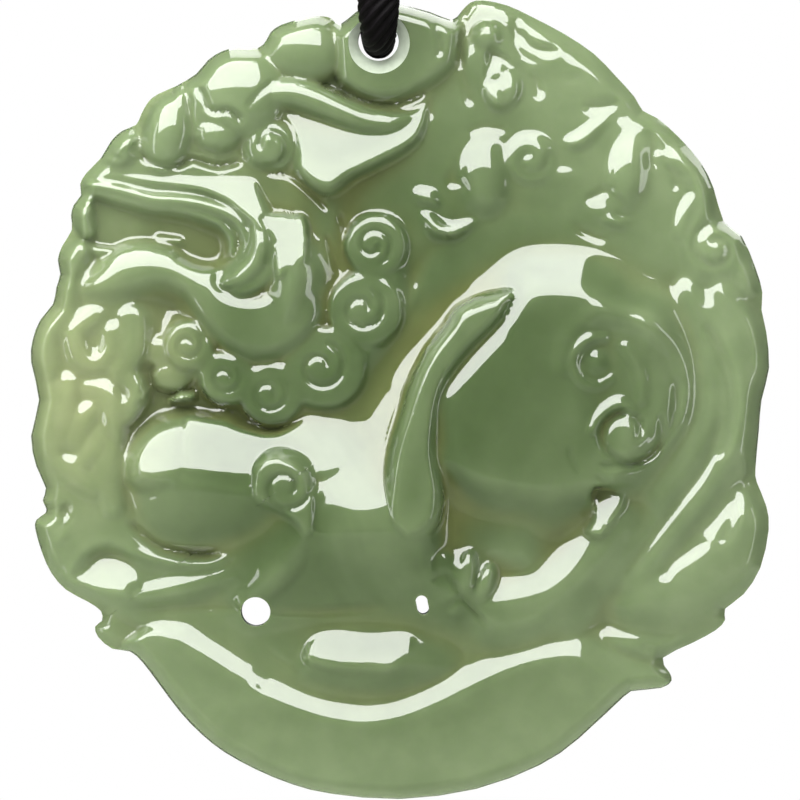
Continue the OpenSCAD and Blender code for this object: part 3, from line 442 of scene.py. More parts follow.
def carve_top_lobes(jade):
    """Broad lobes at the top right."""
    jade.plate([
        (14, 99), (20, 104), (34, 101), (50, 90), (61, 76), (58, 70), (44, 68), (34, 72), (24, 69),
        (16, 71), (13, 84),
    ], foot=-6, rise=2.6, shoulder=1.5, section="crisp")
    jade.dome((22, 85), (7, 7.6), foot=-2.8, rise=2.2, turn=-10)
    jade.dome((35, 86.5), (8, 6), foot=-3.4, rise=1.4, turn=-20)
    jade.dome((46, 80), (12, 5.6), foot=-3.4, rise=1.4, turn=-32)


def carve_small_beast(jade):
    """Rump and shoulder of the small young beast right of the mane."""
    jade.plate([
        (1, 51), (3, 46), (9, 41), (18, 39.5), (27, 42), (33, 49), (33, 57), (30, 65), (24, 68.6),
        (17, 68), (12, 63), (9.5, 57), (5, 54.5),
    ], foot=-6, rise=3, shoulder=2.8, section="pillow")
    jade.dome((21.2, 55.2), (6.4, 9.6), foot=-3.4, rise=4.6)
    jade.plate([
        (34, 66), (38, 63), (45, 62), (50, 60), (51, 54), (46, 50), (38, 49), (32, 51), (27, 54),
        (28, 58),
    ], foot=-5.5, rise=4.5, shoulder=8)


def carve_right_lobe(jade):
    """Round lobe and the soft ridges at the right rim."""
    jade.plate([
        (60, 73), (55, 70), (51, 65), (49.6, 60), (50, 54), (53, 49.5), (58, 46.3), (64, 45), (70, 48),
        (75, 54), (77, 60), (71, 68), (65, 72),
    ], foot=-5.5, rise=2.4, shoulder=2.6, section="pillow")
    jade.dome((57, 56.2), (5, 9.6), foot=-3.2, rise=4.2, turn=-8)
    jade.plate([
        (45, 50), (49, 51.6), (52, 52.4), (56.4, 49), (60.8, 46.4), (57, 43.6), (52, 42.4), (46, 42.4),
        (43, 45.5),
    ], foot=-5, rise=4, shoulder=5)
    jade.roll([
        (70, 60, 3, 3), (75, 55.5, 3.4, 3.6), (76, 50, 3.2, 3.6), (74.5, 44, 3.2, 3.6),
        (73, 38, 3.2, 3.4), (75, 32, 3, 3),
    ], foot=-3.5)
    jade.dome((79, 37.5), (8.5, 8.5), foot=-5, rise=6)
    jade.dome((87, 31), (5, 6), foot=-5, rise=5, turn=20)
    jade.dome((85, 41), (5, 5), foot=-5, rise=4.4)


def carve_tail(jade):
    """Tail strands that follow the right rim, and the lobe at their foot."""
    jade.plate([
        (68, 30), (78, 31), (86, 28), (94, 20), (95, 0), (93, -16), (88, -22), (82, -30), (74, -38),
        (62, -46), (52, -54), (46, -50), (50, -40), (58, -28), (66, -18), (74, -4), (76, 8), (72, 18),
    ], foot=-6, rise=5, shoulder=7)
    jade.roll([
        (72, 27, 3.5, 3), (76, 18, 4, 4), (77.6, 8, 4.4, 4.4), (77, -4, 4.4, 4.4), (72.5, -14, 4.4, 4.2),
        (65.5, -24, 4.6, 4.2), (58, -34, 4.4, 4), (51, -45, 4, 3.5),
    ], foot=-3.4)
    jade.roll([
        (78, 23, 3, 3), (82, 14, 4.2, 4.8), (84.6, 4, 4.8, 5.4), (84, -7, 4.4, 5), (80, -17, 3.6, 4.2),
        (74, -26, 3.6, 4), (66, -36, 3.4, 3.8), (58.5, -46, 3, 3),
    ], foot=-3)
    jade.roll([
        (80, 27, 3.4, 3.4), (86, 18, 4, 4.4), (90, 9, 3.8, 4), (91, -2, 3.4, 3.6), (89, -12, 3, 3),
    ], foot=-3.6)
    jade.plate([
        (88, -21), (95, -30), (92, -43), (86, -51), (75, -58), (62, -59), (52, -54), (54, -46), (62, -39),
        (73, -31), (82, -22),
    ], foot=-6, rise=7.5, shoulder=12, section="pillow")
    jade.plate([
        (44, -56), (58, -53), (70, -54), (82, -50), (90, -56), (82, -66), (66, -70), (54, -68), (42, -61),
    ], foot=-6, rise=4.6, shoulder=10)


def carve_ingot(jade):
    """Boat-shaped ingot: its wall and the ball in its middle."""
    jade.plate([
        (-76, -51), (-50, -48), (-20, -48), (10, -50), (30, -54), (50, -57), (50, -64), (30, -70),
        (8, -82), (-7, -84), (-20, -82), (-38, -74), (-52, -64), (-66, -58),
    ], foot=-5.5, rise=2.6, shoulder=3)
    jade.plate([
        (-27, -66), (-23.6, -60.4), (-20, -57.4), (-8, -55.6), (3, -57), (9, -60), (13, -64), (14, -67.4),
        (8, -72), (0, -74.6), (-7, -75.2), (-20, -73.4), (-28, -69),
    ], foot=-3.1, rise=5, shoulder=9, section="ramp")


def carve_foot_cloud(jade):
    """Cloud under the front foot, at the left end of the ingot."""
    jade.plate([
        (-104, -22), (-98, -4), (-84, -2), (-72, -6), (-62, -18), (-56, -28), (-46, -34), (-36, -37),
        (-38, -44), (-50, -47.4), (-60, -49.8), (-68, -51.2), (-76, -52), (-86, -53), (-104, -44),
    ], foot=-5.5, rise=5, shoulder=15)
    jade.plate([
        (-84, -46), (-80, -50.4), (-70, -53.2), (-60, -53.6), (-48, -51.4), (-38, -47), (-33, -41),
        (-42, -38.6), (-50, -39.6), (-64, -39), (-78, -39),
    ], foot=-5.5, rise=5.4, shoulder=4.5)


def carve_chest(jade):
    """Low ground of the chest down the left rim."""
    jade.plate([
        (-88, 46), (-88, 24), (-96, 16), (-96, 4), (-93, 0), (-96, -8), (-94, -18), (-90, -25),
        (-70, -30), (-66, -20), (-62, 0), (-56, 22), (-70, 34), (-80, 42),
    ], foot=-6, rise=5.5, shoulder=9)


def carve_body(jade):
    """Slope of the neck, then the back and the haunch as one long form."""
    foot = -2.8
    back = [(-0.8, 8.6), (4.4, 14.4), (9.4, 19.8), (14.4, 25.2)]
    haunch = [(30, 36.9), (37, 37.8), (45, 37.4), (50, 36.2), (55, 34), (60, 30.6), (68, 27)]
    jade.plate([
        (-30, -6), (-30, 2), (-20, 4), (-12, 6), (-6, 12), (-2, 20), (4, 30), (10, 38), (20, 44),
        (36, 47), (56, 44), (66, 34), (60, 10), (10, -10),
    ], foot=foot)
    jade.plate([
        (-46, -5.6), (-38, -7), (-31, -8), (-26.4, -6), (-20, -3), (-13, -4.8), (-8, -3.9), (-4.2, 1.8),
        *back, (20, 31), (40, 36), (56, 20), (50, -54), (20, -60), (0, -56), (-20, -55), (-44, -54),
    ], foot=foot, rise=9.9, shoulder=22.5, section="ramp")
    jade.plate([
        (-4.2, 2), *back, (20, 30.4), (25, 34.6), *haunch, (74, 19), (77, 6), (76, -6), (69, -18),
        (61, -28), (51, -39), (36, -45), (18, -43), (8, -36), (-1, -24), (-3, -8),
    ], foot=foot, rise=10.1, shoulder=16, section="ramp")
    jade.plate([
        (17, 20), (20, 26), (25, 33.6), *haunch, (73, 19), (76, 6), (75, -6), (68, -18), (60, -28),
        (50, -38), (36, -42), (22, -36), (17, -20), (15, 0),
    ], foot=foot, rise=10.1, shoulder=10.8, section="ramp")
    jade.plate([
        (-10.5, -4.6), (-8, -3.9), (-4.6, 1.6), (-1, 8.2), (3.4, 6), (0.4, -3), (-2.4, -12), (-3.8, -21),
        (-12, -21),
    ], foot=foot, lean=(-8, -3.4, 0.51, -0.318))


def carve_leg_hollow(jade):
    """Soft hollow between the haunch and the hind leg."""
    jade.plate([
        (7, -9), (12, -14), (17, -17.2), (22, -19.4), (29, -20.6), (38, -21.4), (48, -20), (58, -21),
        (66, -28), (56, -40), (40, -50), (20, -54), (6, -44), (4, -24),
    ], rise=-7.8, shoulder=10, how="add")


def carve_hind_leg(jade):
    """Hind leg, from the haunch down to the paw."""
    jade.plate([
        (49, -20), (56, -21), (62, -26), (62, -34), (54, -46), (44, -55), (34, -62), (22, -63), (15, -56),
        (15, -48), (21, -44.6), (28, -43.4), (33, -42.2), (37.4, -39.8), (41, -36.2), (44, -32),
        (47, -27), (49, -22),
    ], foot=-2.6, rise=4.4, shoulder=6.6, section="ramp")
    jade.dome((14.5, -46), (9.6, 10.5), foot=-5, rise=8)


def carve_belly(jade):
    """Belly under the flank."""
    jade.plate([
        (-14, -26), (-4, -24), (4, -20), (10, -24), (14, -32), (10, -40), (0, -46), (-14, -48),
        (-26, -46), (-26, -34),
    ], rise=1.2, shoulder=9, how="add")


def carve_shoulder(jade):
    """Shoulder and upper forearm."""
    jade.plate([
        (-68.5, -13), (-65, -7.6), (-58, -3.4), (-50, -3.4), (-43, -5.2), (-35, -7.8), (-27, -6),
        (-20, -2.6), (-20, -12), (-20, -22), (-22, -31), (-30, -37.4), (-42, -38.4), (-52, -38.4),
        (-60, -36.4), (-67, -30.4), (-71, -20),
    ], foot=-5, rise=12.9, shoulder=23, lean=(-45, -20, 0, -0.05), section="pillow")


def carve_head_mass(jade):
    """Mass of the head, jaw, chin and cheek."""
    jade.plate([
        (-80, 60), (-74, 64), (-66, 69), (-58, 75), (-50, 79), (-42, 82), (-34, 82), (-26, 78), (-14, 70),
        (-6, 58), (-12, 46), (-12.5, 32), (-18, 21), (-25, 11), (-36, 8.5), (-44, 11), (-50, 17),
        (-55, 24), (-68, 23), (-80, 27), (-81, 33), (-76, 38), (-84, 44), (-82, 52),
    ], foot=-6, rise=4.4, shoulder=8, section="pillow")
    jade.plate([
        (-82.5, 28.5), (-78, 33.4), (-74, 37.2), (-70, 39), (-64, 39.8), (-57, 38.8), (-52, 36.4),
        (-48, 34.6), (-44, 33.6), (-42, 30), (-36, 29), (-31.5, 31), (-26, 32), (-20, 28), (-17, 22),
        (-21, 14), (-28, 9), (-36, 7.4), (-43, 9.6), (-49, 14.6), (-53, 20), (-56, 24.6), (-60, 25.8),
        (-66, 24), (-72, 22.6), (-78, 23.4), (-82, 25.6),
    ], foot=-5.5, rise=8.6, shoulder=7, lean=(-50, 28, 0, -0.03), section="pillow")
    jade.plate([
        (-39, 38), (-35, 44.6), (-28, 46.6), (-20, 44.6), (-15, 39), (-13, 30), (-16, 20), (-22, 12),
        (-30, 9), (-37, 13), (-40, 25),
    ], foot=-4, rise=10.4, shoulder=14)


def carve_mane_ground(jade):
    """Raised ground that the mane curls stand on, and the polish of all the forms so far."""
    jade.plate([
        (0, 47), (4, 40), (4, 28), (3, 18), (-4, 8), (-10, -1), (-24, -4.4), (-33, -6), (-42, -2),
        (-52, 3), (-60, 9), (-61, 17), (-54, 22), (-46, 14), (-38, 10), (-28, 12), (-19, 20), (-15, 30),
        (-13, 40), (-8, 47.6),
    ], foot=-5, rise=4.4, shoulder=4.6)
    jade.soften(FORM_POLISH)


def carve_shoulder_face(jade):
    """Flat faces along the top of the shoulder and the neck."""
    jade.plate([
        (-69, -16), (-67.5, -11), (-64.5, -7.2), (-60, -4.2), (-54, -3.4), (-52, -8), (-53, -22),
        (-66, -22),
    ], foot=-1.8, rise=6, shoulder=3.6, lean=(-60, -12, 0.08, -0.48), section="ramp", top=7.2)
    jade.facet([
        (-54, -17.4), (-54, -10), (-53.6, -4.2), (-50, -4.1), (-45, -5.1), (-40, -6.7), (-33, -8.3),
        (-28, -7.3), (-23, -4.6), (-20, -3.6), (-16, -4.1), (-13.6, -5), (-13.6, -14), (-16, -17.6),
        (-24, -19.6), (-37, -19.6), (-44, -19), (-50, -18.2),
    ], foot=1.4, lean=(-52, -5, -0.105, -0.46))


def carve_top_detail(jade):
    """Chisel strokes on the top lobes, and a leaning face with two small ovals."""
    jade.cut([(28.8, 95.5), (28.6, 91), (28, 88.4)], 1.6, 1.6, 0.8)
    jade.cut([(30, 92), (31.2, 89.3), (34, 87.4), (37.5, 86.8), (39.2, 87.6)], 1.8, 2, 1)
    jade.cut([(28, 88.4), (31, 86), (35, 84)], 1.2, 1.6, 0.8)
    jade.dome((21.8, 91), (3.4, 3.2), foot=-1.4, rise=2.6)
    jade.cut([(44, 87.5), (46, 85.6), (49, 84)], 1.2, 1.2, 1)
    jade.cut([(52, 80), (54.5, 78), (58, 76.5)], 1.4, 1.2, 0.8)
    jade.cut([(41, 80), (45.5, 80.4)], 0.8, 1.2, 0.7)
    jade.cut([(46, 73), (50, 73.3), (55, 74.2)], 1.6, 1.6, 0.9)
    jade.cut([(33, 81.5), (34.5, 79), (35, 75.5)], 1.6, 0.8, 1.4)
    jade.cut([(15.6, 84), (16.4, 78), (18, 73.6)], 1.2, 1.2, 1.2)
    jade.plate([
        (22.3, 87.5), (26.3, 85.8), (29, 82), (30.3, 78.5), (28.3, 74.3), (25, 72.8), (22.3, 74.2),
        (20.7, 78), (21.6, 83),
    ], foot=-1.4, rise=0.8, shoulder=2, lean=(25, 80, 0, -0.42), how="set")
    jade.dome((24, 81.2), (1.9, 3), foot=-2.2, rise=1.4, turn=-30, how="set")
    jade.dome((27.2, 77.2), (1.8, 3.6), foot=-1.2, rise=1.6, turn=-20, how="set")


def carve_small_detail(jade):
    """Curl, ledge, horn and leaf beside the small beast."""
    jade.dome((32.5, 60), (6, 6), foot=-1.6, rise=1.5)
    jade.coil((32.5, 60), (1.2, 5), 60, 0.9, 2, 1.1, 0.8)
    jade.cut([(17.6, 66.8), (21, 68.3), (26.5, 67.4)], 1.4, 1.2, 0.8)
    jade.cut([(13.4, 57.5), (12.6, 54), (15.2, 54.3), (17.4, 51.4)], 1.4, 1, 1)
    jade.plate([
        (3.6, 48.3), (6, 48.4), (8.4, 47.2), (10.4, 44.8), (12.8, 43.9), (16, 44.4), (21.5, 46.8),
        (17.5, 42.6), (14, 40.4), (11, 40.2), (8, 41), (6, 43.2), (4.4, 45.6),
    ], foot=-2.2, rise=2.2, shoulder=2, lean=(12, 44, 0, -0.42))
    jade.roll([(4.6, 51.4, 0.9, 1.4), (8, 50.9, 0.9, 1.4)], foot=-1.8)
    jade.roll([(5.2, 49.8, 0.9, 1.4), (9, 49.2, 0.9, 1.4)], foot=-1.8)
    jade.plate([
        (38.6, 64.4), (43, 62), (47, 63), (51.5, 67), (56, 71.4), (51, 72), (47, 70), (43.6, 67.2),
        (41, 65.6),
    ], foot=-4.2, rise=3.4, shoulder=2, lean=(46, 66, 0.06, -0.34))


def carve_right_detail(jade):
    """Strokes, leaf and curl along the right rim, and seams down to the tail."""
    jade.cut([(62.3, 67), (63.6, 63), (62.4, 60), (64, 58)], 1.3, 1.4, 1)
    jade.cut([(66.3, 58.5), (69, 55.5), (68.5, 52.5)], 1.3, 1, 1.3)
    jade.roll([(74, 51, 1.6, 1.4), (71.5, 46.5, 1.8, 1.8), (70, 42, 1.6, 1.4)], foot=-2.2)
    jade.plate([
        (49.6, 44.6), (51.6, 47.2), (54.4, 46), (58, 45.6), (61.4, 46.8), (58, 43.9), (54, 43),
    ], foot=-3, rise=2.4, shoulder=1.6, lean=(54, 45, 0, -0.4))
    jade.cut([(43.2, 43.9), (46, 41.7), (51.6, 39.7)], 1.5, 1.4, 0.8)
    jade.cut([(46.2, 49.8), (49, 51), (51.6, 52.3), (54, 50.2), (56.6, 48.6)], 1.5, 1.2, 0.8)
    jade.coil((79, 38), (1.4, 6.4), 150, 1.15, 2.2, 1.3, 1, hand=-1)
    jade.cut([(83.5, -24), (82.8, -30), (80, -36)], 1, 1.6, 1.6)
    jade.cut([(76.8, -35.2), (72, -38.4), (68, -41), (66, -45)], 1.2, 1.6, 2.4)
    jade.cut([(51.2, -55.6), (52.8, -57)], 1.5, 1, 0.7)
    jade.cut([(60.5, -61.6), (63.4, -63.2)], 1.5, 1, 0.8)
    jade.cut([(75.5, 19), (80, 11.6), (82.8, 1), (81.4, -10), (79.4, -15)], 1.8, 2.4, 1.2)
    jade.cut([(80.5, -3), (76.5, -16), (66.5, -29), (56.5, -43.5)], 1.3, 1.3, 1)


def carve_ingot_rim(jade):
    """Slopes and faces along the ingot's rim, its seams, and the faces of the cloud beside it."""
    lean = (0, -80, 0, 0.03)
    jade.plate([
        (-38, -65.7), (-30, -70), (-20, -73.6), (-12, -75.2), (-7, -75.3), (0, -74), (8, -70.8),
        (16, -66.8), (24, -63), (30, -60.8), (36, -59.4), (42, -58.8), (47.5, -59.7), (58, -65),
        (69, -68.5), (70, -76), (40, -100), (0, -108), (-36, -104), (-50, -84), (-44, -72),
    ], foot=-2.9, rise=3.4, shoulder=5.6, lean=lean, section="ramp")
    jade.plate([
        (-62, -56), (-56, -55.8), (-50, -57.4), (-45, -61.1), (-38, -65.7), (-30, -70), (-24, -76),
        (-28, -96), (-40, -102), (-58, -90), (-66, -72), (-66, -60),
    ], foot=-2.9, rise=2.9, shoulder=4.8, lean=lean, section="ramp")
    jade.plate([
        (-64, -58), (-58, -58.4), (-53, -61.4), (-48, -65.4), (-42, -69.6), (-34, -74), (-28, -80),
        (-28, -96), (-40, -102), (-58, -90), (-70, -72), (-70, -62),
    ], foot=-0.2, rise=0.7, shoulder=10, lean=lean)
    jade.facet([
        (-53, -56.4), (-50, -57.5), (-45, -61.4), (-38, -66), (-33, -69.3), (-33, -73), (-38, -70.8),
        (-42, -69.4), (-48, -65), (-54, -60), (-56, -58),
    ], foot=-2.65, lean=(-50, -57.4, -0.32, -0.486))
    jade.facet([
        (-23.4, -65), (-21.8, -60), (-16, -57.9), (-8, -57.3), (0, -57.9), (3, -59.4), (1.6, -63.4),
        (-1.6, -67.6), (-8, -67.4), (-15, -67.2),
    ], foot=-2.3, lean=(-8, -57.3, 0, -0.5))
    jade.cut([
        (8.3, -55.7), (13, -60.4), (16, -64.5), (12, -68.8), (0, -73), (-14, -72.8), (-28, -66.5),
        (-35, -60.3),
    ], 0.9, 0.9, 0.8)
    jade.cut([
        (-68, -53), (-60, -52.2), (-53, -51.8), (-40, -51.8), (-29, -52.7), (-20, -52.9), (-10, -52.3),
        (-2, -51.5),
    ], 1.6, 1.2, 0.8)
    jade.plate([
        (-84, -45), (-82, -40), (-78, -36), (-72, -34.6), (-64, -38), (-52, -40), (-40, -38.5),
        (-42, -40.6), (-50, -45), (-60, -48), (-68, -49.2), (-76, -48.4),
    ], foot=0.2, rise=-2.4, shoulder=4, how="set")
    jade.facet([
        (-81, -45.2), (-78.4, -41), (-75, -37.8), (-70, -38.2), (-65.6, -41), (-65.4, -48.4), (-68, -49),
        (-76, -48),
    ], foot=-4.6, lean=(-75, -38, 0, -0.5))
    jade.facet([
        (-67, -46.8), (-60, -45.9), (-51, -43.4), (-42.6, -40), (-41, -39.6), (-45, -42.6), (-52, -45.6),
        (-60, -48), (-67, -48.9),
    ], foot=-0.1, lean=(-60, -48, 0.14, -0.54))
    jade.facet([
        (-84.6, -26.6), (-82, -27), (-83.8, -34.8), (-86.2, -34.6),
    ], foot=-0.8, lean=(-84, -31, 0, -0.38))


def carve_chest_locks(jade):
    """Curled locks down the left rim, and their own polish."""
    for lock in (
        [(-80, 37, 3, 2), (-84, 31, 4, 2.8), (-84, 25, 4, 2.6)],
        [(-84, 22, 4, 2.2), (-89, 16, 4.6, 3), (-88.5, 8, 4, 2.6)],
        [
            (-76, 21, 3, 2), (-81, 17, 3.2, 3), (-80, 11, 3.2, 3.2),
            (-76, 8.6, 2.8, 2.6), (-72.4, 12, 2.8, 2.6), (-72, 17, 2.6, 2),
        ],
        [(-67, 20, 4, 2), (-67, 13, 4.4, 2.6), (-70, 7, 3.6, 2.2)],
        [(-88, 2, 3.4, 2), (-89.5, -5, 4.4, 3), (-87.5, -13, 3.8, 2.4)],
        [(-83, 4, 3.2, 2), (-84, -3, 3.8, 2.6), (-86, -11, 3.2, 2)],
        [(-77, 3, 2.6, 1.8), (-73, 1.5, 3.2, 3), (-71.6, -4, 3.2, 3.2), (-71, -9, 2.8, 2.2)],
        [(-75, -1, 2.6, 1.6), (-79, -5, 3.4, 2.4), (-81, -10, 3, 2)],
        [(-67, 5, 3, 2.2), (-65.5, 1, 3, 2.8), (-68.4, -4, 2.6, 2)],
        [(-74, -8, 2.6, 1.6), (-76, -12, 3.2, 2.2), (-80, -16, 2.8, 1.8)],
        [(-86, -15, 3, 2), (-82, -18, 3.6, 2.4), (-77, -22, 3, 2)],
        [(-72, -12, 3.4, 2), (-73, -19, 4, 2.4), (-72, -26, 3.4, 1.6)],
    ):
        jade.roll(lock, foot=LOCK_FOOT)
    jade.soften(LOCK_POLISH)


def carve_scroll_ring(jade):
    """Ring ridge with two scrolls behind the haunch."""
    jade.plate([
        (39, 8), (40, 14), (43, 19), (47, 22.6), (52, 24.3), (58, 24), (64, 21), (69, 15), (72, 8),
        (73, 2), (70.5, -6), (66, -12.5), (60, -16.3), (54, -16.8), (47, -14), (43, -8), (42, 0),
    ], rise=-2.2, shoulder=10, how="add")
    jade.dome((66, 8), (5.6, 10), rise=-1.2, turn=10, how="add")
    jade.roll([
        (40.5, 8, 3, 0.6), (41.5, 13.6, 3.6, 0.6), (45, 18.6, 4, 0.5), (50.5, 21.6, 4.2, 0.5),
        (57, 22, 4.2, 0.9), (63.5, 19, 4.2, 1.3), (68.5, 13, 4, 1.3), (71.5, 5, 3.6, 1.2),
        (71, -3, 3.2, 1.1), (66.5, -10, 2.8, 1),
    ], how="add")
    jade.roll([
        (50.8, 15.6, 1.6, 1.5), (47.2, 15, 2.1, 2), (44.4, 12.2, 2.1, 1.8), (43.4, 8.6, 2.1, 1.4),
        (45, 5, 2.1, 1.3), (49, 3.6, 1.9, 1.1), (52.5, 5.4, 1.5, 0.8),
    ], how="add")
    jade.dome((48.8, 9.4), (4, 4.6), rise=1.8, turn=-10, how="add")
    jade.roll([(56, 13, 2.2, 0.9), (58.4, 9.5, 2.6, 1.1), (60, 5, 2.4, 1), (60, 0, 2.2, 0.8)], how="add")
    jade.coil((56.5, -8), (2.6, 9.6), -60, 1.25, 2, 1.6, 1.1)
    jade.dome((56.5, -8.5), (6, 6.4), rise=2.2, how="add")
    jade.roll([
        (48, -7.5, 1.6, 1.2), (50.6, -3.4, 2, 1.8), (54.6, -1, 2.1, 2), (57.6, -3, 1.9, 1.6),
    ], how="add")
    jade.cut([
        (49.5, -15.8), (57.8, -15.9), (63.6, -12.4), (67.4, -6.6), (68.7, -0.6), (68.9, 5.4),
    ], 1.8, 1, 2.4)
    jade.cut([(49, -18.6), (52, -21), (55.6, -22), (59, -22.4)], 1, 1, 0.8)
    jade.cut([(42.4, -11.6), (43, -15), (45, -18)], 0.8, 0.8, 1.2)


def carve_paw(jade):
    """Flat face at the top of the hind leg, and the toes of its paw."""
    jade.facet([
        (48.4, -22), (55.6, -23), (55.4, -27), (52, -32), (50, -33.8), (46.6, -33), (48.2, -29),
    ], foot=2.6, lean=(52, -28, 0.35, -0.42))
    jade.dome((16.6, -44), (3.2, 7), foot=-1, rise=4.6, turn=-8)
    jade.dome((21, -46), (2.6, 5.6), foot=-1, rise=4, turn=-20)
    jade.dome((11, -41), (3.2, 4.6), foot=-1, rise=3.6, turn=15)
    jade.dome((14, -52), (3.6, 3.2), foot=-3, rise=4.4)
    jade.cut([(11.6, -42.6), (15.4, -49), (19, -53), (21.6, -56.6)], 1.8, 1, 0.9)
    jade.cut([(11.8, -51.8), (13.4, -50.2), (16, -49.6)], 1.4, 0.9, 0.8)
    jade.cut([(8.2, -44.9), (10.2, -43.6)], 1.2, 0.8, 0.8)
    jade.cut([(18.8, -38.5), (19.4, -42), (18.6, -47)], 1.3, 0.8, 0.8)


def carve_forearm(jade):
    """Strokes over the shoulder, the small ledge there, and a stroke under the forearm."""
    jade.cut([(-66, -1.8), (-60, 2), (-55, 5)], 1.5, 1, 0.9)
    jade.cut([(-65.2, 0.8), (-62, 5.6)], 1.2, 1, 0.8)
    jade.plate([
        (-58, -0.5), (-55, 2), (-51.5, 2), (-51, 0), (-54, -0.6),
    ], foot=-2, rise=2, shoulder=1.2, lean=(0, 0, 0, -0.2))
    jade.cut([(-67, -30), (-64.5, -33), (-59.5, -36.4), (-52, -38), (-45, -38)], 2.4, 1, 2.2)


def carve_knee_scroll(jade):
    """Knee scroll and its stem."""
    jade.roll([
        (-20.6, -24, 3, 4), (-22.4, -31, 4, 4.6), (-27, -38.6, 4.8, 3.4), (-31, -43, 4.4, 0.8),
    ], foot=2.4)
    jade.roll([
        (-24, -34, 4.6, 6), (-28, -40, 4.8, 6.4), (-33, -45.4, 4.6, 4.6), (-37.6, -50, 3.4, 1.6),
    ], foot=-1)
    jade.plate([
        (-39.6, -20), (-38.4, -15.4), (-35, -12.2), (-30.6, -11.2), (-26.4, -12), (-22.4, -14.4),
        (-19.8, -18.4), (-18.4, -24), (-18.2, -31), (-20, -36), (-25, -37), (-28, -33), (-31, -30.4),
        (-36, -28.6), (-39.4, -25),
    ], foot=1.6, rise=7, shoulder=4, section="ramp")
    jade.coil((-28.4, -21.8), (1.6, 7.2), -80, 1.5, 1.6, 1, 0.8)


def carve_leaf_blade(jade):
    """Leaf-shaped wing blade."""
    jade.plate([
        (29, 25.8), (27.6, 27.2), (24, 26.7), (19, 25.3), (14, 22.7), (11.4, 18.8), (6.8, 12.8), (3.4, 6),
        (0.4, -3), (-2.4, -12), (-3.8, -21), (-4, -30), (2, -36), (9, -32), (11, -24), (9.8, -14),
        (10, -8), (10.8, -2), (12.2, 3), (14.8, 7.4), (18.8, 12.2), (23.8, 17.2), (26.8, 21), (28, 24),
    ], foot=4.6, rise=3.8, shoulder=2.8, lean=(10, 0, 0.04, -0.05), section="ramp")
    jade.roll([
        (26, 24, 1.4, 0), (19, 20.4, 3, 0.1), (10.4, 12, 4, 0.3), (5, 2, 4.4, 0.6), (3.4, -12, 4.6, 0.5),
        (3.4, -24, 4.4, 0),
    ], how="add")


def carve_mane(jade):
    """Mane curls round the cheek, and the lumps at both ends of them."""
    for (across, up), radius, start, turns, hand in MANE_CURLS:
        jade.dome((across, up), (radius, radius), foot=CURL_FOOT, rise=CURL_RISE)
        middle = (across + CURL_SHIFT[0] * radius, up + CURL_SHIFT[1] * radius)
        reach = [share * radius for share in CURL_REACH]
        left, right = (share * radius for share in CURL_WIDTHS)
        jade.coil(middle, reach, start, turns, CURL_DEPTH, left, right, hand)
    jade.dome((-60, 12), (4, 4), foot=-3, rise=2)
    jade.dome((-57, 6), (5, 4), foot=-3, rise=2)
    jade.dome((3, 24), (3, 8), foot=-5, rise=2.6, turn=-25)


def carve_jaw_line(jade):
    """Soft stroke of the jaw."""
    jade.cut([(-56, 25.4), (-53.5, 23.5), (-50, 18.5), (-45.5, 13.2), (-40, 11)], 0.9, 2.4, 1.6, power=2)


def carve_mouth(jade):
    """Mouth hollow with tongue and front teeth."""
    jade.plate([
        (-79, 51), (-70, 49.6), (-62, 47.6), (-55, 47), (-49, 45), (-44, 42.6), (-42.4, 38), (-43, 35),
        (-45, 33), (-49, 32.5), (-54, 34.2), (-58, 37), (-64, 38.2), (-70, 37.4), (-74, 35.4), (-79, 40),
        (-80, 46),
    ], foot=-2.6, rise=-3.4, shoulder=2.6, how="set")
    jade.dome((-66, 42.8), (6.4, 5.6), rise=0.8, how="add")
    jade.roll([(-60.4, 40.3, 1.4, 1.4), (-55, 39.5, 1.4, 1.4)], how="add")
    jade.roll([(-79.2, 49.2, 2.8, 4), (-79.4, 46, 3.2, 4.6), (-78, 42.4, 2.4, 3.6)], foot=-3.2)
    jade.cut([(-77.2, 47), (-76.6, 43.6), (-75, 41), (-72, 38.6)], 1.8, 0.9, 0.8)
    jade.roll([(-79, 38, 1.6, 2), (-75, 37, 1.6, 2), (-72.6, 37.2, 1.2, 1.6)], foot=-4)


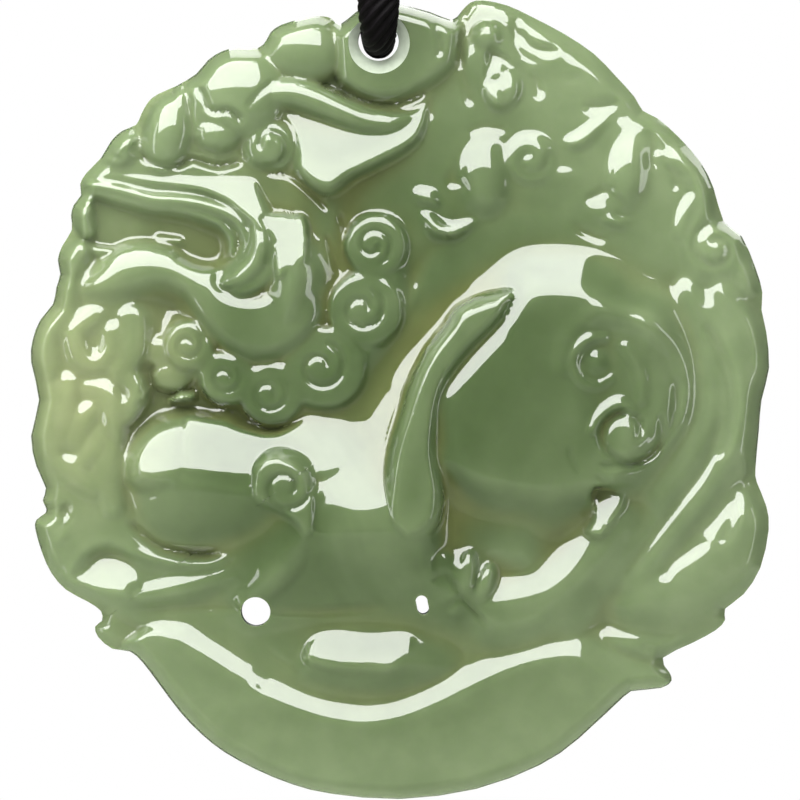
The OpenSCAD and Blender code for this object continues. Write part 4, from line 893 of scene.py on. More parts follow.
def carve_lip_rolls(jade):
    """Upper lip band and the rolls round the mouth corner."""
    jade.plate([
        (-80, 56.8), (-76.6, 58.8), (-70, 58.8), (-65, 57.4), (-60, 56.7), (-55, 57.1), (-50, 56.5),
        (-41, 56.5), (-35.6, 55.6), (-34, 52), (-32.4, 47.6), (-31.4, 44.6), (-34, 41), (-37, 43),
        (-40.6, 46), (-44, 48.6), (-50, 51), (-57, 52), (-66, 53.2), (-76, 54.6), (-80, 55),
    ], foot=-4.5, rise=3, shoulder=1.8, lean=(-60, 56, 0, -0.44))
    jade.facet([
        (-34.4, 46), (-28, 46), (-23.4, 44.8), (-23.2, 35.2), (-27, 33.6), (-30.4, 30.4), (-31, 36),
        (-31.4, 40), (-34.4, 43.4),
    ], foot=2.4, lean=(-28, 45, 0, -0.28))
    jade.roll([
        (-78, 53.9, 1.1, 2), (-70, 52.3, 1.5, 2.6), (-62, 50.2, 1.5, 2.8), (-55, 49.7, 1.6, 3),
        (-48, 48.4, 1.7, 3.2), (-42, 46, 1.8, 3.4), (-38.9, 42.4, 1.8, 3.4), (-38.2, 38.6, 1.7, 3.2),
        (-40, 34.4, 1.6, 3), (-43.6, 31, 1.4, 2.4), (-46.4, 29.8, 1.1, 1.4),
    ], foot=-2)
    jade.roll([
        (-79, 52.6, 1.2, 2), (-72, 50.9, 1.5, 2.6), (-63, 48.5, 1.5, 2.8), (-56, 47.8, 1.5, 2.8),
        (-49, 46, 1.6, 3), (-44.4, 43.9, 1.6, 3), (-41.8, 40.4, 1.5, 2.8), (-41.8, 36.6, 1.3, 2.4),
    ], foot=-3.2)
    jade.roll([
        (-35.4, 43.4, 2.2, 2.6), (-34.6, 39, 2.8, 4), (-36, 34, 3, 4.2), (-40, 30.2, 2.6, 3.6),
        (-43.4, 29.2, 1.6, 2),
    ], foot=0.6)
    jade.roll([
        (-33.4, 42, 1.8, 2), (-31.4, 38, 2, 3), (-32, 33, 2, 3), (-35.4, 29, 2, 3),
        (-39.6, 27.2, 1.8, 2.6), (-42, 28, 1.2, 1.4),
    ], foot=0.6)


def carve_snout_eye(jade):
    """Nose, brow, lid and eye."""
    jade.dome((-70, 63.6), (6, 6.4), foot=-5, rise=7, turn=-20)
    jade.dome((-58, 66.4), (6.6, 11), foot=-5, rise=9, turn=-12)
    jade.roll([(-55.4, 78, 1.4, 1.8), (-54.2, 71, 1.8, 2.6), (-53, 66, 1.5, 2)], foot=-1.2)
    jade.roll([(-52, 79, 1.5, 1.8), (-50.4, 72, 1.9, 2.8), (-50, 66, 1.5, 2)], foot=-1.2)
    jade.dome((-40.6, 76.2), (13.5, 12.5), foot=-4.6, rise=10)
    jade.dome((-45.2, 66.4), (6.2, 4.6), foot=-1.6, rise=5)
    jade.cut([(-66.8, 68.6), (-65.4, 65), (-67, 61.4)], 1.8, 1.2, 1.2)
    jade.cut([(-73.4, 62.4), (-71.4, 60.4), (-69.4, 60.4)], 1.4, 1, 0.8)
    jade.cut([
        (-50.8, 78.6), (-49, 75.4), (-47.8, 72.6), (-46, 71.8), (-43, 72.1), (-41, 71.1), (-39.2, 69),
    ], 2.4, 1.4, 1.2)
    jade.cut([
        (-65, 61.8), (-62, 59.2), (-58, 58.2), (-54.5, 59), (-52, 60), (-50.2, 59.6), (-46, 58.4),
        (-43, 58.7), (-39, 59.8),
    ], 2.6, 1.6, 1.1)


def carve_ear(jade):
    """Ear with its rolled rim and base curl."""
    jade.plate([
        (-38, 72), (-35, 77), (-29, 80.4), (-23, 80.2), (-16, 77.4), (-9, 74), (-3, 72.8), (3, 73.8),
        (8, 77.4), (8.6, 72), (6.4, 65.6), (2, 61.6), (-5, 58), (-12, 54.6), (-17, 51.4), (-22, 52.6),
        (-26.4, 57), (-27, 62), (-28.4, 67), (-32, 70),
    ], foot=-4.5, rise=5.5, shoulder=2.4, lean=(-14, 66, 0, -0.42), section="crisp")
    jade.roll([
        (-37, 69.5, 1.6, 2.6), (-35.6, 73.4, 2.8, 5), (-32, 76, 3.8, 6), (-27, 76.4, 4.2, 6.6),
        (-21, 74.6, 4.2, 6.4), (-15, 72, 4, 6), (-9, 69.6, 3.8, 5.4), (-3, 68.9, 3.2, 4.6),
        (1, 69.6, 2.2, 3.2), (3.6, 70.6, 1.2, 1.6),
    ], foot=-2.6)
    jade.cut([(-38.2, 73), (-35, 76.6), (-31.6, 79.6)], 1.4, 0.8, 0.8)
    jade.cut([(7.9, 75.6), (7.4, 70)], 1.2, 0.8, 0.9)
    jade.dome((-32.4, 63.4), (7.4, 7.2), foot=-3.4, rise=6.4)
    jade.coil((-32.4, 63.2), (2.2, 5.2), -150, 0.9, 2, 1.1, 0.9, hand=-1)
    jade.dome((-32.8, 64.6), (1.7, 1.9), foot=1.6, rise=2)
    jade.cut([
        (-37, 58.9), (-34, 57.1), (-31, 56.5), (-28.6, 56.3), (-25, 54.3), (-20.4, 50), (-18, 47),
    ], 1.8, 1.2, 0.6)
    jade.cut([(-15.2, 46.4), (-13, 41.4)], 1.4, 1, 0.9)
    jade.cut([(-18.6, 41.4), (-17, 37), (-15.2, 31.6)], 1.4, 1.2, 0.8)


def carve_cord_boss(jade):
    """Cloud bump and the boss round the cord hole."""
    jade.dome((-24.5, 87.6), (11.5, 9.6), foot=-5, rise=7.4, turn=-8)
    jade.plate([
        (-16, 99), (-16.4, 88), (-15.8, 80), (-14, 77.6), (-10, 75), (-4, 73.7), (2, 74.7), (7, 77.4),
        (12, 81), (14.8, 86), (14.8, 99), (0, 106),
    ], foot=-4.5, rise=7.2, shoulder=4.5, lean=(0, 86, 0, 0.05), section="round")
    jade.cut([(8.2, 94.6), (9.6, 90.4), (10, 85.6)], 1.2, 1.3, 1)
    jade.cut([(14.9, 97), (15.2, 90), (15.6, 83)], 2.2, 1, 1.7)
    jade.cut([(-15.6, 79), (-10, 75.4), (-4, 73.9), (2, 75), (6.6, 77.4)], 1.8, 1.7, 1)


CARVING = (
    carve_neck_ground,
    carve_top_lobes,
    carve_small_beast,
    carve_right_lobe,
    carve_tail,
    carve_ingot,
    carve_foot_cloud,
    carve_chest,
    carve_body,
    carve_leg_hollow,
    carve_hind_leg,
    carve_belly,
    carve_shoulder,
    carve_head_mass,
    carve_mane_ground,
    carve_shoulder_face,
    carve_top_detail,
    carve_small_detail,
    carve_right_detail,
    carve_ingot_rim,
    carve_chest_locks,
    carve_scroll_ring,
    carve_paw,
    carve_forearm,
    carve_knee_scroll,
    carve_leaf_blade,
    carve_mane,
    carve_jaw_line,
    carve_mouth,
    carve_lip_rolls,
    carve_snout_eye,
    carve_ear,
    carve_cord_boss,
)


class Disc:
    """The carved disc in table units and its place in the frame."""

    def __init__(self, cell):
        self.rim = curve_through(OUTLINE, RIM_STEPS, closed=True)
        low, high = self.rim.min(axis=0), self.rim.max(axis=0)
        self.unit_x = (JADE_HIGH.x - JADE_LOW.x) / (high[0] - low[0])
        self.unit_z = (JADE_HIGH.z - JADE_LOW.z) / (high[1] - low[1])
        self.unit_y = -JADE_LOW.y / TABLE_RISE
        self.middle_x = JADE_LOW.x - low[0] * self.unit_x
        self.middle_z = JADE_LOW.z - low[1] * self.unit_z
        ways = ways_along(self.rim, SPAN_BONUS)
        self.rim_ways = ways / ways[-1]
        jade = Relief(cell)
        for carve in CARVING:
            carve(jade)
        jade.soften(CARVING_POLISH)
        crown = np.clip(1 - (jade.u / TABLE_W) ** 2 - (jade.v / TABLE_H) ** 2, 0, 1)
        least = LEAST_HEIGHT * (1 + crown)
        jade.height = np.maximum(CROWN_FOOT + CROWN_RISE * crown + jade.height, least)
        jade.soften(FRONT_POLISH)
        self.jade = jade
        self.hollow = blurred(jade.height, HOLLOW_REACH / cell) - jade.height

    def rim_at(self, share):
        """Point of the rim at a share of the way round."""
        return [np.interp(share, self.rim_ways, self.rim[:, k]) for k in (0, 1)]

    def front(self, u, v):
        """Height of the front, rolled off towards the rim."""
        gap, _, _ = gap_to_line(u, v, self.rim)
        rolled = 1 - (1 - np.clip(gap / EDGE_W, 0, 1)) ** 2
        return self.jade.at(u, v) * rolled

    def place(self, u, y, v):
        """A point of the table in the frame, in metres."""
        return Vector((self.middle_x + u * self.unit_x, y, self.middle_z + v * self.unit_z))


def back_height(share):
    """Height of the plain back at a share of the way from its middle to the rim."""
    return JADE_HIGH.y * math.sqrt(1 - share**BACK_POWER) * (1 - BACK_FALL * share * share)


def square_to_ring(x, y):
    """A square grid's points as shares of the way round and of the way out of a disc."""
    out = np.maximum(abs(x), abs(y))
    way = np.select(
        [(y >= out) & (x >= 0), x >= out, -y >= out, -x >= out],
        [x, 2 * out - y, 4 * out - x, 6 * out + y],
        8 * out + x,
    )
    return way / (8 * np.maximum(out, TINY)), out


def oval_patch(u, v, middle, radii):
    """A soft oval patch, full in its middle."""
    return np.exp(-(((u - middle[0]) / radii[0]) ** 2) - ((v - middle[1]) / radii[1]) ** 2)


def skin_cover(u, v):
    """How much of the jade's yellow green skin is left on the chest."""
    patches = [share * oval_patch(u, v, middle, radii) for middle, radii, share in SKIN_PATCHES]
    return SKIN_SHARE * np.maximum(*patches)


def painted_rim_glow(u, v):
    """Painted light on the thin rim: how much pale glow it gets, most at the top right, less at the lower
    left and the middle.
    """
    most, start, over, power = 0.85, 0.5, 0.4, 1.1
    lower_left, gain, gain_over, gain_start = 0.8, 0.2, 60, 0.3
    middle_loss, middle_width = 0.4, 30
    way_out = np.hypot(u / TABLE_W, v / TABLE_H)
    # Share of the pale glow painted on the rim
    pale = most * np.clip((way_out - start) / over, 0, 1) ** power
    pale = pale * (lower_left + gain * np.clip((u + v) / gain_over + gain_start, 0, 1))
    return pale * (1 - middle_loss * np.exp(-((u / middle_width) ** 2)))


def new_piece(name, bm, materials):
    """Turns a bmesh into a smooth object at the origin with its materials."""
    mesh = bpy.data.meshes.new(name)
    bm.to_mesh(mesh)
    bm.free()
    for material in materials:
        mesh.materials.append(material)
    mesh.shade_smooth()
    piece = bpy.data.objects.new(name, mesh)
    bpy.context.scene.collection.objects.link(piece)
    return piece


class Nodes:
    """The nodes of a material or of the world."""

    def __init__(self, tree):
        self.tree = tree

    def node(self, kind, **values):
        """Adds a node, with its sockets and settings by name."""
        made = self.tree.nodes.new("ShaderNode" + kind)
        for key, value in values.items():
            if key in made.inputs:
                made.inputs[key].default_value = value
            else:
                setattr(made, key, value)
        return made

    def link(self, value, made, socket):
        """Leads a value into a node's socket."""
        self.tree.links.new(value, made.inputs[socket])

    def mixed(self, factor, first, second, blend="MIX"):
        """Mixes two colours by a socket or number and returns the result's socket."""
        mix = self.node("Mix", data_type="RGBA", blend_type=blend)
        for socket, value in ((0, factor), (6, first), (7, second)):
            if isinstance(value, bpy.types.NodeSocket):
                self.link(value, mix, socket)
            elif socket:
                mix.inputs[socket].default_value = (*value[:3], 1)
            else:
                mix.inputs[socket].default_value = value
        return mix.outputs[2]

    def ranged(self, value, low, high, to_low=0.0, to_high=1.0):
        """Maps a socket's range onto another, smoothly, and returns the result's socket."""
        made = self.node("MapRange", interpolation_type="SMOOTHSTEP")
        self.link(value, made, "Value")
        names = ("From Min", "From Max", "To Min", "To Max")
        for name, number in zip(names, (low, high, to_low, to_high)):
            made.inputs[name].default_value = number
        return made.outputs["Result"]


class Finish(Nodes):
    """A material with its main shader, and the patterns that its looks follow."""

    def __init__(self, name, **values):
        self.material = bpy.data.materials.new(name)
        self.material.use_nodes = True
        super().__init__(self.material.node_tree)
        self.shader = self.tree.nodes["Principled BSDF"]
        for socket, value in values.items():
            self.shader.inputs[socket].default_value = value
        self.spot = self.node("TexCoord").outputs["Object"]

    def painted(self, name, output="Fac"):
        """Values painted on the piece's points."""
        return self.node("Attribute", attribute_name=name).outputs[output]

    def cloud(self, scale, detail=3.0, distortion=0.0, spot=None):
        """A soft noise pattern in object space, or another, in periods a metre."""
        made = self.node("TexNoise", Scale=scale, Detail=detail, Distortion=distortion)
        self.link(spot or self.spot, made, "Vector")
        return made.outputs["Fac"]

    def feed(self, colour, roughness=None):
        """Gives the shader its colour and, where it varies, its roughness."""
        self.link(colour, self.shader, "Base Color")
        if roughness:
            self.link(roughness, self.shader, "Roughness")

    def bump(self, height, strength, distance):
        """Raises the surface by a pattern, to a distance in metres."""
        made = self.node("Bump", Strength=strength, Distance=distance)
        self.link(height, made, "Height")
        self.link(made.outputs["Normal"], self.shader, "Normal")


def jade_finish(colours):
    """Polished, slightly clear nephrite: green body, cloudy pale skin, and painted glow of light through
    thin stone, lighter on the thin ground, the ridges and the rim and olive in the hollows.
    """
    finish = Finish("polished_jade", **JADE_BODY)
    hollow = finish.painted("hollow")
    thickness = finish.painted("thickness")
    clouds = finish.cloud(scale=55, detail=4, distortion=0.6)
    flecks = finish.cloud(scale=420, detail=5)
    thick = finish.ranged(thickness, low=4, high=15)
    cloudy = finish.ranged(clouds, low=0.42, high=0.72, to_high=0.5)
    # Painted glow of light through thin stone in the hollows, in olive
    deep = finish.ranged(hollow, low=0.1, high=2.4, to_high=0.75)
    # Painted glow of light through thin stone: raised ridges are given the pale green
    painted_ridge_glow = finish.ranged(hollow, low=-2.5, high=-0.2, to_low=0.35, to_high=0)
    # Painted glow of light through thin stone: the thinner the relief, the lighter green it is given
    colour = finish.mixed(thick, colours.jade_thin_glow, colours.jade_deep)
    colour = finish.mixed(cloudy, colour, colours.jade_pale_cloud_and_glow)
    colour = finish.mixed(deep, colour, colours.jade_hollow_glow)
    colour = finish.mixed(painted_ridge_glow, colour, colours.jade_pale_cloud_and_glow)
    # Painted light: a pale glow on the thin rim
    colour = finish.mixed(finish.painted("painted_rim_light"), colour, colours.jade_pale_cloud_and_glow)
    colour = finish.mixed(finish.painted("skin"), colour, colours.jade_skin)
    speck = finish.mixed(finish.ranged(flecks, low=0.3, high=0.7), *FLECK_TINTS)
    colour = finish.mixed(1.0, colour, speck, "MULTIPLY")
    smears = finish.cloud(scale=900, detail=4)
    finish.feed(colour, finish.ranged(smears, low=0.35, high=0.75, to_low=0.035, to_high=0.075))
    finish.bump(finish.cloud(scale=260, detail=2), strength=0.06, distance=0.0002)
    return finish.material


def bevel_finish(colours):
    """Ground ring round the cord hole, whitened by fine scratches."""
    finish = Finish("ground_bevel")
    grain = finish.cloud(scale=1800, detail=4)
    colour = finish.mixed(finish.ranged(grain, low=0.3, high=0.7), colours.bevel, BEVEL_GRAIN)
    finish.feed(colour, finish.ranged(grain, low=0.3, high=0.7, to_low=0.3, to_high=0.45))
    return finish.material


def drilled_finish(colours):
    """Grainy wall of the drilled holes, with the drill's rings."""
    finish = Finish("drilled_wall")
    rings = finish.node("TexWave", wave_type="BANDS", bands_direction="Y", Scale=1500)
    finish.link(finish.spot, rings, "Vector")
    grain = finish.cloud(scale=2600, detail=5)
    colour = finish.mixed(finish.ranged(grain, low=0.3, high=0.7), colours.jade_pale_cloud_and_glow, colours.jade_deep)
    finish.feed(colour, finish.ranged(grain, low=0.3, high=0.7, to_low=0.35, to_high=0.6))
    height = finish.mixed(0.5, rings.outputs["Fac"], grain)
    finish.bump(height, strength=0.4, distance=0.00005)
    return finish.material


def cord_finish(colours, name, strands):
    """Black waxed cord, with painted highlights on its fine strands along each ply, and a violet sheen.
    """
    finish = Finish(name, **CORD_WAX)
    stretched = finish.node("Mapping", Scale=(strands, 2.0, 1.0))
    finish.link(finish.painted("ply_way", "Vector"), stretched, "Vector")
    strand = finish.cloud(scale=1.0, spot=stretched.outputs["Vector"])
    wear = finish.cloud(scale=700, detail=4)
    # Painted highlight: lighter violet grey strands along each ply
    lit = finish.ranged(strand, low=0.35, high=0.7)
    worn = finish.ranged(wear, low=0.5, high=0.8, to_high=0.35)
    colour = finish.mixed(lit, colours.cord, colours.cord_highlight_and_wear)
    colour = finish.mixed(worn, colour, colours.cord_highlight_and_wear)
    finish.feed(colour, finish.ranged(strand, low=0.3, high=0.7, to_low=0.42, to_high=0.62))
    finish.bump(strand, strength=0.55, distance=0.00006)
    return finish.material


def floor_finish(colours):
    """Matt pale paper."""
    finish = Finish("pale_paper", Roughness=0.8)
    fibre = finish.ranged(finish.cloud(scale=300, detail=4), low=0.3, high=0.7)
    finish.feed(finish.mixed(fibre, colours.floor, PAPER_FIBRE))
    return finish.material


def drawn_on(bm, edges):
    """Draws a ring of edges on into a band: its new points, edges and faces."""
    made = bmesh.ops.extrude_edge_only(bm, edges=edges)["geom"]
    kinds = (bmesh.types.BMVert, bmesh.types.BMEdge, bmesh.types.BMFace)
    return [[part for part in made if isinstance(part, kind)] for kind in kinds]


def twisted_tube(bm, line, radii, plies, twist):
    """Sweeps a ring of plies along a line, turning it as it goes, and closes both ends."""
    around = PLY_POINTS * plies
    steps = np.diff(line, axis=0)
    ways = np.concatenate([[0], np.cumsum(np.linalg.norm(steps, axis=1))])
    turned = math.tau * ways / twist
    ply_way = bm.verts.layers.float_vector.new("ply_way")
    angles = math.tau * np.arange(around) / around
    across = 2 * ((np.arange(around) % PLY_POINTS + 0.5) / PLY_POINTS) - 1
    shape = 1 - PLY_LOBE + PLY_LOBE * np.sqrt(1 - across**2)
    ring = bmesh.ops.create_circle(bm, segments=around, radius=1.0, cap_ends=True)["verts"]
    edges = bm.edges[:]
    side = Vector(line[1] - line[0]).normalized().orthogonal().normalized()
    for i, middle in enumerate(line):
        along = Vector(line[min(i + 1, len(line) - 1)] - line[max(i - 1, 0)]).normalized()
        side = (side - along * side.dot(along)).normalized()
        up = along.cross(side)
        if i:
            ring, edges, _ = drawn_on(bm, edges)
        for place, vert in enumerate(ring):
            k = round(vert[ply_way].z) if i else place
            angle = angles[k] + turned[i]
            reach = float(radii[i] * shape[k])
            vert.co = Vector(middle) + reach * (math.cos(angle) * side + math.sin(angle) * up)
            vert[ply_way] = (k / PLY_POINTS, ways[i] / STRAND_UNIT, k)
    bmesh.ops.contextual_create(bm, geom=edges)
    bmesh.ops.recalc_face_normals(bm, faces=bm.faces)


def length_property(name, description, default):
    """A length in metres with its name and help."""
    return bpy.props.FloatProperty(
        name=name, description=description, default=default, unit="LENGTH", precision=5
    )


def count_property(name, description, default, least, most):
    """A number of parts with its name, help and limits."""
    return bpy.props.IntProperty(
        name=name, description=description, default=default, min=least, max=most
    )


def colour_property(name, description, default):
    """A linear colour with its name and help."""
    return bpy.props.FloatVectorProperty(
        name=name, description=description, default=default, subtype="COLOR", size=3, min=0.0, max=1.0
    )


class JadeSizes(bpy.types.PropertyGroup):
    """Sizes of the pendant's visible pieces."""

    grid: count_property("Front grid", "Cells along each side of the carved front's grid", 296, 60, 300)
    field_cell: bpy.props.FloatProperty(
        name="Carving cell",
        description="Cell of the field the relief is carved in, in hundredths of the half height",
        default=0.4,
        min=0.2,
        max=2.0,
    )
    bevel: length_property("Hole bevel", "Width of the ground bevel round the cord hole", 0.0008)
    hole: length_property("Cord hole", "Diameter of the hole for the cord", 0.00304)
    piercing: length_property("Round piercing", "Diameter of the small hole over the ingot", 0.0022)
    slit: length_property("Slit width", "Width of the slit beside the paw", 0.0009)
    plies: count_property("Cord plies", "Plies round the cord", 9, 4, 16)
    twist: length_property("Cord twist", "Length of cord in which a ply goes once round", 0.0075)
    knot_turns: count_property("Knot turns", "Turns of thin cord in the knot", 5, 3, 8)


class JadeColours(bpy.types.PropertyGroup):
    """Colours of the pendant and its studio."""

    jade_deep: colour_property("Deep jade", "Thick green body of the stone", (0.0445, 0.067, 0.0255))
    # Pale cloudy green of the stone, also used as the painted glow on ridges and the rim
    jade_pale_cloud_and_glow: colour_property("Light jade", "Cloudy lighter green", (0.125, 0.162, 0.083))
    # Painted glow of light through thin stone, on the thin, low ground
    jade_thin_glow: colour_property("Thin jade", "Green of the thin, low ground", (0.07, 0.098, 0.043))
    # Painted glow of light through thin stone, in the hollows
    jade_hollow_glow: colour_property("Hollow jade", "Olive of the hollows", (0.078, 0.088, 0.028))
    jade_skin: colour_property("Jade skin", "Pale yellow green of the left rim", (0.165, 0.187, 0.09))
    bevel: colour_property("Bevel", "Whitened ring round the cord hole", (0.33, 0.375, 0.29))
    cord: colour_property("Cord", "Black of the cord", (0.0016, 0.0013, 0.0014))
    # Painted highlight colour of the strands, also used for worn patches
    cord_highlight_and_wear: colour_property("Lit strands", "Violet grey of lit strands", (0.0045, 0.0034, 0.0042))
    floor: colour_property("Floor", "Pale floor", (0.86, 0.86, 0.85))


class PENDANT_OT_stage(bpy.types.Operator):
    """Set up the camera, the softbox, the weak side lights and the pale floor"""

    bl_idname = "pendant.stage"
    bl_label = "Stage and Light"

    def execute(self, context):
        scene = context.scene
        scene.view_settings.view_transform = "Standard"
        middle = Vector(((JADE_LOW.x + JADE_HIGH.x) / 2, 0, PIVOT.z - VIEW_DROP))
        self.place_camera(scene, middle)
        self.hang_lights(scene, middle)
        self.light_world(scene)
        self.lay_floor(scene.jade_colours)
        return {"FINISHED"}

    def place_camera(self, scene, middle):
        """A long lens straight in front of the pendant."""
        camera = bpy.data.cameras.new("camera")
        camera.sensor_width = SENSOR
        camera.clip_start = VIEW_START
        camera.lens = SENSOR * VIEW_DISTANCE / VIEW_WIDTH
        view = bpy.data.objects.new("camera", camera)
        view.location = middle + Vector((0, -VIEW_DISTANCE, 0))
        view.rotation_euler = (math.radians(90), 0, 0)
        scene.collection.objects.link(view)
        scene.camera = view

    def hang_lights(self, scene, middle):
        """The softbox and the weak lights, each with a radiance that its size doesn't change."""
        for name, (width, height, offset, facing, radiance) in LIGHTS.items():
            lamp = bpy.data.lights.new(name, "AREA")
            lamp.shape = "RECTANGLE"
            lamp.size = width
            lamp.size_y = height
            lamp.energy = radiance * math.pi * width * height
            holder = bpy.data.objects.new(name, lamp)
            holder.location = middle + Vector(offset)
            aim = Vector(offset) - Vector(facing)
            holder.rotation_euler = aim.to_track_quat("Z", "Y").to_euler()
            holder.visible_camera = False
            scene.collection.objects.link(holder)

    def light_world(self, scene):
        """White to the camera, dim all round, and a paler table low down in reflections."""
        world = bpy.data.worlds.new("studio")
        scene.world = world
        world.use_nodes = True
        world.node_tree.nodes.clear()
        studio = Nodes(world.node_tree)
        path = studio.node("LightPath")
        split = studio.node("SeparateXYZ")
        studio.link(studio.node("TexCoord").outputs["Generated"], split, 0)
        low = studio.ranged(split.outputs["Z"], *TABLE_EDGE, to_low=1.0, to_high=0.0)
        seen = studio.node("Background", Color=(1, 1, 1, 1), Strength=1.0)
        shown = studio.node("Background", Color=ROOM_TINT, Strength=ROOM_LIGHT)
        dark = studio.node("Background", Strength=1.0)
        studio.link(studio.mixed(low, ROOM_DARK, TABLE_GLOW), dark, "Color")
        for ray, ground in (("Is Glossy Ray", dark), ("Is Camera Ray", seen)):
            mix = studio.node("MixShader")
            for socket, value in enumerate((path.outputs[ray], shown.outputs[0], ground.outputs[0])):
                studio.link(value, mix, socket)
            shown = mix
        studio.link(shown.outputs[0], studio.node("OutputWorld"), 0)

    def lay_floor(self, colours):
        """A wide sheet of pale paper below the hanging pendant."""
        bm = bmesh.new()
        bmesh.ops.create_grid(bm, x_segments=8, y_segments=8, size=FLOOR_HALF)
        bmesh.ops.translate(bm, verts=bm.verts, vec=(0, 0, FLOOR_HEIGHT))
        floor = new_piece("floor", bm, [floor_finish(colours)])
        floor.visible_glossy = False


class PENDANT_OT_cord(bpy.types.Operator):
    """Lay the twisted cord along the frame's route and wind its knot"""

    bl_idname = "pendant.cord"
    bl_label = "Cord and Knot"

    def execute(self, context):
        sizes = context.scene.jade_sizes
        colours = context.scene.jade_colours
        line = curve_through(CORD_ROUTE, CORD_STEPS) * MM
        radii = line[:, 3]
        bm = bmesh.new()
        twisted_tube(bm, line[:, :3], radii, sizes.plies, sizes.twist)
        cord = new_piece("twisted_cord", bm, [cord_finish(colours, "black_cord", CORD_STRANDS)])
        knot = self.wind_knot(sizes, colours)
        for piece, name in ((cord, "cord"), (knot, "cord_knot")):
            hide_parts(name)
            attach(piece, "cord_loop")
        return {"FINISHED"}

    def wind_knot(self, sizes, colours):
        """Turns of a thinner cord wound tight round the leg, with rounded ends."""
        middle = (KNOT_LOW + KNOT_HIGH) / 2
        turns = sizes.knot_turns
        height = KNOT_HIGH.z - KNOT_LOW.z
        thick = KNOT_FILL * height / turns
        reach = (KNOT_HIGH.x - KNOT_LOW.x) / 2 - thick
        share = np.linspace(0, 1, KNOT_STEPS * turns + 1)
        angle = math.tau * turns * share
        slack = np.clip(np.minimum(share, 1 - share) * 2 * turns, 0, 1)
        radius = reach * (KNOT_START + (1 - KNOT_START) * np.sin(slack * math.pi / 2))
        line = np.column_stack(
            [
                middle.x + radius * np.cos(angle),
                middle.y + radius * np.sin(angle),
                KNOT_LOW.z + thick + (height - 2 * thick) * share,
            ]
        )
        bm = bmesh.new()
        twisted_tube(bm, line, np.full(len(line), thick), KNOT_PLIES, KNOT_TWIST)
        return new_piece("wound_knot", bm, [cord_finish(colours, "knot_cord", KNOT_STRANDS)])


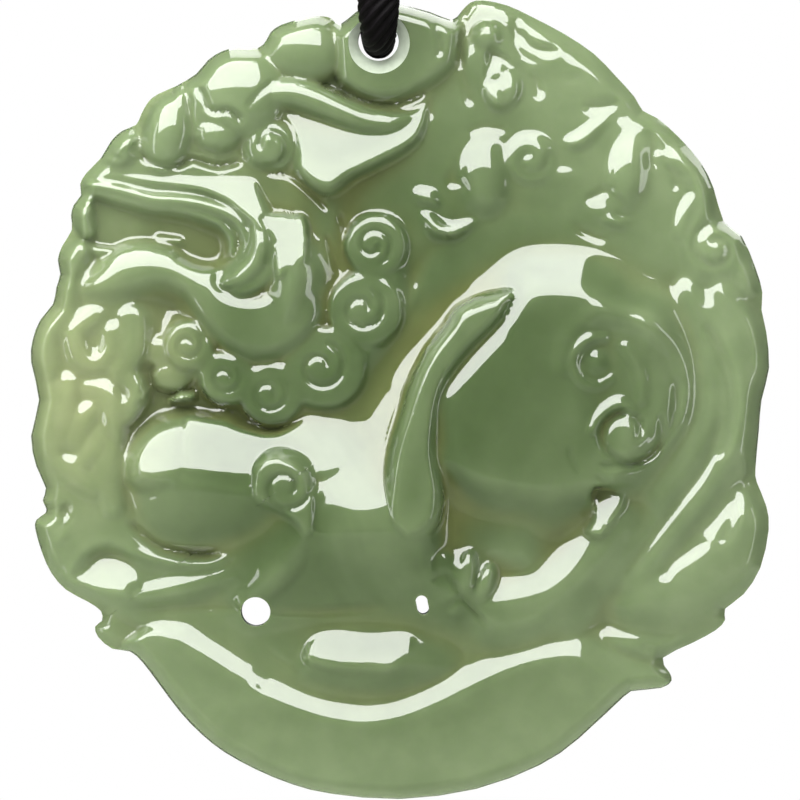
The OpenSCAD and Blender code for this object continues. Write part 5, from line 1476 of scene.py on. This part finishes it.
class PENDANT_OT_jade(bpy.types.Operator):
    """Carve the jade, drill its holes and polish it"""

    bl_idname = "pendant.jade"
    bl_label = "Carved Jade"

    def execute(self, context):
        sizes = context.scene.jade_sizes
        colours = context.scene.jade_colours
        disc = Disc(sizes.field_cell)
        finishes = [jade_finish(colours), bevel_finish(colours), drilled_finish(colours)]
        bm = bmesh.new()
        self.carve_front(bm, disc, sizes.grid)
        self.close_back(bm, disc)
        bmesh.ops.recalc_face_normals(bm, faces=bm.faces)
        bmesh.ops.triangulate(bm, faces=bm.faces, quad_method="SHORT_EDGE", ngon_method="BEAUTY")
        jade = new_piece("polished_jade", bm, finishes)
        self.drill(context, jade, disc, sizes, finishes)
        jade.data.set_sharp_from_angle(angle=SHARP_ANGLE)
        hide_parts("carved_jade")
        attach(jade, "pendant")
        return {"FINISHED"}

    def carve_front(self, bm, disc, cells):
        """A grid drawn out to the rim and raised to the relief, painted for its finish, with masks for
        the painted glow of light through thin stone.
        """
        bmesh.ops.create_grid(bm, x_segments=cells, y_segments=cells, size=1.0)
        square = np.array([v.co.xy for v in bm.verts])
        share, out = square_to_ring(square[:, 0], square[:, 1])
        rim_u, rim_v = disc.rim_at(share)
        u, v = rim_u * out, rim_v * out
        height = disc.front(u, v)
        height[out > AT_RIM] = 0
        # The hollow, thickness and rim values place the painted glow of light through thin stone; the
        # skin is the stone's own colour
        paints = {
            "hollow": disc.jade.at(u, v, disc.hollow),
            "thickness": height,
            "skin": skin_cover(u, v),
            "painted_rim_light": painted_rim_glow(u, v),
        }
        layers = {name: bm.verts.layers.float.new(name) for name in paints}
        rim = bm.verts.layers.float_vector.new("rim")
        for i, vert in enumerate(bm.verts):
            vert.co = disc.place(u[i], -height[i] * disc.unit_y, v[i])
            vert[rim] = (rim_u[i], rim_v[i], 0)
            for name, values in paints.items():
                vert[layers[name]] = values[i]

    def close_back(self, bm, disc):
        """Rings drawn inwards from the rim over the plain, slightly domed back."""
        rim = bm.verts.layers.float_vector["rim"]
        hollow = bm.verts.layers.float["hollow"]
        thickness = bm.verts.layers.float["thickness"]
        edges = [e for e in bm.edges if e.is_boundary]
        for share in BACK_RINGS:
            ring, edges, _ = drawn_on(bm, edges)
            oval = min(1, (1 - share) / OVAL_OVER)
            for vert in ring:
                u, v, _ = vert[rim]
                reach = share * (1 - oval + oval / math.hypot(u / TABLE_W, v / TABLE_H))
                vert.co = disc.place(u * reach, back_height(share), v * reach)
                vert[hollow] = 0
                vert[thickness] = BACK_THICKNESS
        bmesh.ops.pointmerge(bm, verts=ring, merge_co=disc.place(0, back_height(0), 0))

    def drill(self, context, jade, disc, sizes, finishes):
        """Cuts the bevelled cord hole, the round piercing and the slit."""
        bm = bmesh.new()
        hole_u = (PIVOT.x - disc.middle_x) / disc.unit_x
        hole_v = (PIVOT.z - disc.middle_z) / disc.unit_z
        boss = -float(disc.front(np.array([[hole_u]]), np.array([[hole_v]]))[0, 0]) * disc.unit_y
        back = back_height(HOLE_WAY_OUT)
        radius, bevel = sizes.hole / 2, sizes.bevel
        mouths = [
            (boss - bevel, radius + 2 * bevel),
            (boss + bevel, radius),
            (back - 0.5 * bevel, radius),
            (back + 0.5 * bevel, radius + bevel),
        ]
        self.add_drill(bm, [PIVOT], mouths)
        for spots, width in (((PIERCING_SPOT,), sizes.piercing), (SLIT_ENDS, sizes.slit)):
            ends = [disc.place(u, 0, v) for u, v in spots]
            self.add_drill(bm, ends, [(depth, width / 2) for depth in DRILL_ENDS])
        cutter = new_piece("drill", bm, finishes)
        cutting = jade.modifiers.new("drilling", "BOOLEAN")
        cutting.operation = "DIFFERENCE"
        cutting.solver = "MANIFOLD"
        cutting.object = cutter
        context.view_layer.update()
        graph = context.evaluated_depsgraph_get()
        drilled = bpy.data.meshes.new_from_object(jade.evaluated_get(graph), depsgraph=graph)
        plain = jade.data
        jade.modifiers.clear()
        jade.data = drilled
        drilled.name = "polished_jade_drilled"
        bpy.data.objects.remove(cutter)
        bpy.data.meshes.remove(plain)
        if len(drilled.polygons) < FEWEST_FACES:
            raise RuntimeError("the drilling left no jade")

    def add_drill(self, bm, spots, sections):
        """A drill through the disc, round or drawn between two spots, by (depth, radius)."""
        turn = bm.verts.layers.float.get("turn") or bm.verts.layers.float.new("turn")
        ring = bmesh.ops.create_circle(bm, segments=DRILL_SIDES, radius=1.0)["verts"]
        edges = [e for e in bm.edges if e.verts[0] in ring]
        first = list(edges)
        for i, vert in enumerate(ring):
            vert[turn] = math.tau * i / DRILL_SIDES
        faces = []
        previous = None
        for depth, reach in sections:
            if previous is not None:
                ring, edges, faces = drawn_on(bm, edges)
            for vert in ring:
                across, up = math.cos(vert[turn]), math.sin(vert[turn])
                centre = spots[0] if up >= 0 else spots[-1]
                vert.co = centre + Vector((reach * across, depth, reach * up))
            for face in faces:
                face.material_index = 1 if previous != reach else 2
                face.smooth = True
            previous = reach
        bmesh.ops.contextual_create(bm, geom=edges)
        bmesh.ops.contextual_create(bm, geom=first)
        bmesh.ops.recalc_face_normals(bm, faces=bm.faces)


class PENDANT_PT_pieces(bpy.types.Panel):
    """Sizes, colours and pieces of the pendant"""

    bl_idname = "PENDANT_PT_pieces"
    bl_label = "Jade Pendant"
    bl_space_type = "VIEW_3D"
    bl_region_type = "UI"
    bl_category = "Pendant"

    def draw(self, context):
        for group in (context.scene.jade_sizes, context.scene.jade_colours):
            box = self.layout.box()
            for name in group.__annotations__:
                box.prop(group, name)
        for piece in OPERATORS:
            self.layout.operator(piece.bl_idname)


OPERATORS = (PENDANT_OT_stage, PENDANT_OT_cord, PENDANT_OT_jade)
CLASSES = (JadeSizes, JadeColours, *OPERATORS, PENDANT_PT_pieces)


def register():
    """Registers the classes and the scene's settings."""
    for cls in CLASSES:
        bpy.utils.register_class(cls)
    bpy.types.Scene.jade_sizes = bpy.props.PointerProperty(type=JadeSizes)
    bpy.types.Scene.jade_colours = bpy.props.PointerProperty(type=JadeColours)


def unregister():
    """Takes them away again."""
    del bpy.types.Scene.jade_sizes
    del bpy.types.Scene.jade_colours
    for cls in reversed(CLASSES):
        bpy.utils.unregister_class(cls)


def main():
    """Makes the pendant."""
    register()
    bpy.ops.pendant.stage()
    bpy.ops.pendant.cord()
    bpy.ops.pendant.jade()


if __name__ == "__main__":
    main()
